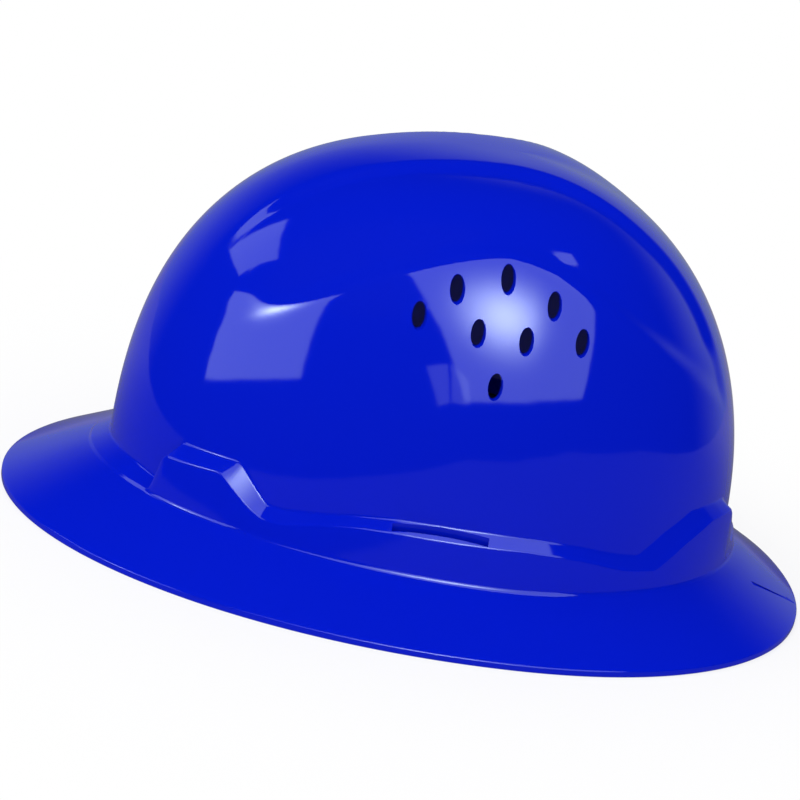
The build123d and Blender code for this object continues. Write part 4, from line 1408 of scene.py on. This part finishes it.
def light_panel_group():
    """Level of a flat lamp in a direction, with soft edges and a hot middle."""
    directions = ("Direction", "Facing", "Across", "Up", "Hot Place")
    numbers = ("Level", "Hot Level", "Hot Size")
    inputs = [(label, "Vector", None) for label in directions]
    inputs += [(label, "Float", None) for label in numbers]
    group, given, result = new_group("light_panel", inputs, (("Level", "Float"),))
    facing = dot_node(group, given.outputs["Direction"], given.outputs["Facing"])
    held = math_node(group, "MAXIMUM", facing, least_facing)
    places = []
    for label in ("Across", "Up"):
        along = dot_node(group, given.outputs["Direction"], given.outputs[label])
        places.append(math_node(group, "DIVIDE", along, held))
    margins = []
    for place in places:
        margins.append(math_node(group, "MINIMUM", place, math_node(group, "SUBTRACT", 1.0, place)))
    edge = (-panel_edge_softness, panel_edge_softness)
    inside = step_node(group, math_node(group, "MINIMUM", *margins), edge)
    front = math_node(group, "GREATER_THAN", facing, least_facing)
    place = group.nodes.new("ShaderNodeCombineXYZ")
    for socket, value in zip(place.inputs, places):
        group.links.new(value, socket)
    spread = group.nodes.new("ShaderNodeVectorMath")
    spread.operation = "DISTANCE"
    group.links.new(place.outputs[0], spread.inputs[0])
    group.links.new(given.outputs["Hot Place"], spread.inputs[1])
    share = math_node(group, "DIVIDE", spread.outputs["Value"], given.outputs["Hot Size"])
    square = math_node(group, "MULTIPLY", share, share)
    fall = math_node(group, "EXPONENT", math_node(group, "MULTIPLY", square, -1.0))
    level = math_node(group, "MULTIPLY_ADD", fall, given.outputs["Hot Level"], given.outputs["Level"])
    masked = math_node(group, "MULTIPLY", math_node(group, "MULTIPLY", inside, front), level)
    group.links.new(masked, result.inputs["Level"])
    return group


def painted_table_reflection(tree, place):
    """Glowing table top that glossy rays see, a painted reflection darker near the hat as a painted shadow;
    clear past its edges. Returns its output and the clear shader.
    """
    past = None
    for direction, distance in table_edges:
        beyond = math_node(tree, "SUBTRACT", dot_node(tree, place, direction), distance)
        past = beyond if past is None else math_node(tree, "MAXIMUM", past, beyond)
    beyond_edge = step_node(tree, past, (-table_edge_softness, table_edge_softness))
    on_table = math_node(tree, "SUBTRACT", 1.0, beyond_edge)
    # Painted shadow: the table glows less near the hat than farther towards -X
    away = dot_node(tree, place, (-1, 0, 0))
    level = step_node(tree, away, (0.0, table_level_reach), (table_shadow_level, table_open_level))
    table = tree.nodes.new("ShaderNodeEmission")
    tree.links.new(level, table.inputs["Strength"])
    clear = tree.nodes.new("ShaderNodeBsdfTransparent").outputs[0]
    return mix_node(tree, on_table, clear, table.outputs[0]), clear


def pale_floor():
    """White floor that keeps the hat's shadow; glossy surfaces see a painted reflection of a glowing table
    top on it.
    """
    material, tree, shader = new_material("pale_floor")
    shader.inputs["Base Color"].default_value = floor_colour
    shader.inputs["Roughness"].default_value = floor_roughness
    shader.inputs["Specular IOR Level"].default_value = 0.0
    rays = tree.nodes.new("ShaderNodeLightPath").outputs
    place = tree.nodes.new("ShaderNodeTexCoord").outputs["Object"]
    reach = tree.nodes.new("ShaderNodeVectorMath")
    reach.operation = "LENGTH"
    tree.links.new(place, reach.inputs[0])
    white = tree.nodes.new("ShaderNodeEmission")
    whiteness = step_node(tree, reach.outputs["Value"], floor_shadow_reach, floor_white_levels)
    shown = math_node(tree, "MULTIPLY", rays["Is Camera Ray"], whiteness)
    seen = mix_node(tree, shown, shader.outputs[0], white.outputs[0])
    mirrored, clear = painted_table_reflection(tree, place)
    above = mix_node(tree, rays["Is Glossy Ray"], seen, mirrored)
    backfacing = tree.nodes.new("ShaderNodeNewGeometry").outputs["Backfacing"]
    passed = math_node(tree, "MULTIPLY_ADD", rays["Is Diffuse Ray"], floor_clear_share, backfacing)
    output = next(node for node in tree.nodes if node.type == "OUTPUT_MATERIAL")
    tree.links.new(mix_node(tree, passed, above, clear), output.inputs["Surface"])
    return material


def room_background(tree, colour, strength):
    """Background shader; returns its output."""
    node = tree.nodes.new("ShaderNodeBackground")
    node.inputs["Color"].default_value = colour
    if isinstance(strength, bpy.types.NodeSocket):
        tree.links.new(strength, node.inputs["Strength"])
    else:
        node.inputs["Strength"].default_value = strength
    return node.outputs[0]


def room_light(scene, stage):
    """Even room light, a white background, and the studio's lamps in a dark room for reflections."""
    world = bpy.data.worlds.new("room")
    scene.world = world
    world.use_nodes = True
    tree = world.node_tree
    tree.nodes.clear()
    output = tree.nodes.new("ShaderNodeOutputWorld")
    rays = tree.nodes.new("ShaderNodeLightPath").outputs
    direction = tree.nodes.new("ShaderNodeTexCoord").outputs["Generated"]
    facing = dot_node(tree, direction, backdrop_direction)
    behind = step_node(tree, facing, backdrop_spread, (0.0, backdrop_level))
    low = step_node(tree, dot_node(tree, direction, (0, 0, 1)), backdrop_heights, (1.0, 0.0))
    total = math_node(tree, "MULTIPLY_ADD", behind, low, dark_room_level)
    group = light_panel_group()
    for corner, across, up, *levels in light_panels:
        panel = tree.nodes.new("ShaderNodeGroup")
        panel.node_tree = group
        tree.links.new(direction, panel.inputs["Direction"])
        rows = Matrix((corner, across, up)).transposed().inverted()
        labels = ("Facing", "Across", "Up", "Level", "Hot Level", "Hot Place", "Hot Size")
        for label, value in zip(labels, (*rows, *levels)):
            panel.inputs[label].default_value = value
        total = math_node(tree, "ADD", total, panel.outputs["Level"])
    fill = room_background(tree, room_white, stage.fill_strength)
    studio = room_background(tree, studio_tint, total)
    lit = mix_node(tree, rays["Is Glossy Ray"], fill, studio)
    shown = mix_node(tree, rays["Is Camera Ray"], lit, room_background(tree, room_white, 1.0))
    tree.links.new(shown, output.inputs["Surface"])


operators = (
    HARDHAT_OT_shell,
    HARDHAT_OT_straps,
    HARDHAT_OT_patch,
    HARDHAT_OT_pads,
    HARDHAT_OT_fittings,
    HARDHAT_OT_stage,
)


class HARDHAT_PT_pieces(bpy.types.Panel):
    """Pieces of the hard hat"""

    bl_label = "Hard hat"
    bl_space_type = "VIEW_3D"
    bl_region_type = "UI"
    bl_category = "Hard hat"

    def draw(self, context):
        for operator in operators:
            self.layout.operator(operator.bl_idname)


classes = (HatShellSettings, HatSuspensionSettings, HatStageSettings, *operators, HARDHAT_PT_pieces)


def register():
    for item in classes:
        bpy.utils.register_class(item)
    bpy.types.Scene.hat_shell = PointerProperty(type=HatShellSettings)
    bpy.types.Scene.hat_suspension = PointerProperty(type=HatSuspensionSettings)
    bpy.types.Scene.hat_stage = PointerProperty(type=HatStageSettings)


def unregister():
    del bpy.types.Scene.hat_stage
    del bpy.types.Scene.hat_suspension
    del bpy.types.Scene.hat_shell
    for item in reversed(classes):
        bpy.utils.unregister_class(item)


def main():
    register()
    bpy.ops.hardhat.shell()
    bpy.ops.hardhat.straps()
    bpy.ops.hardhat.patch()
    bpy.ops.hardhat.pads()
    bpy.ops.hardhat.fittings()
    bpy.ops.hardhat.stage()


if __name__ == "__main__":
    main()
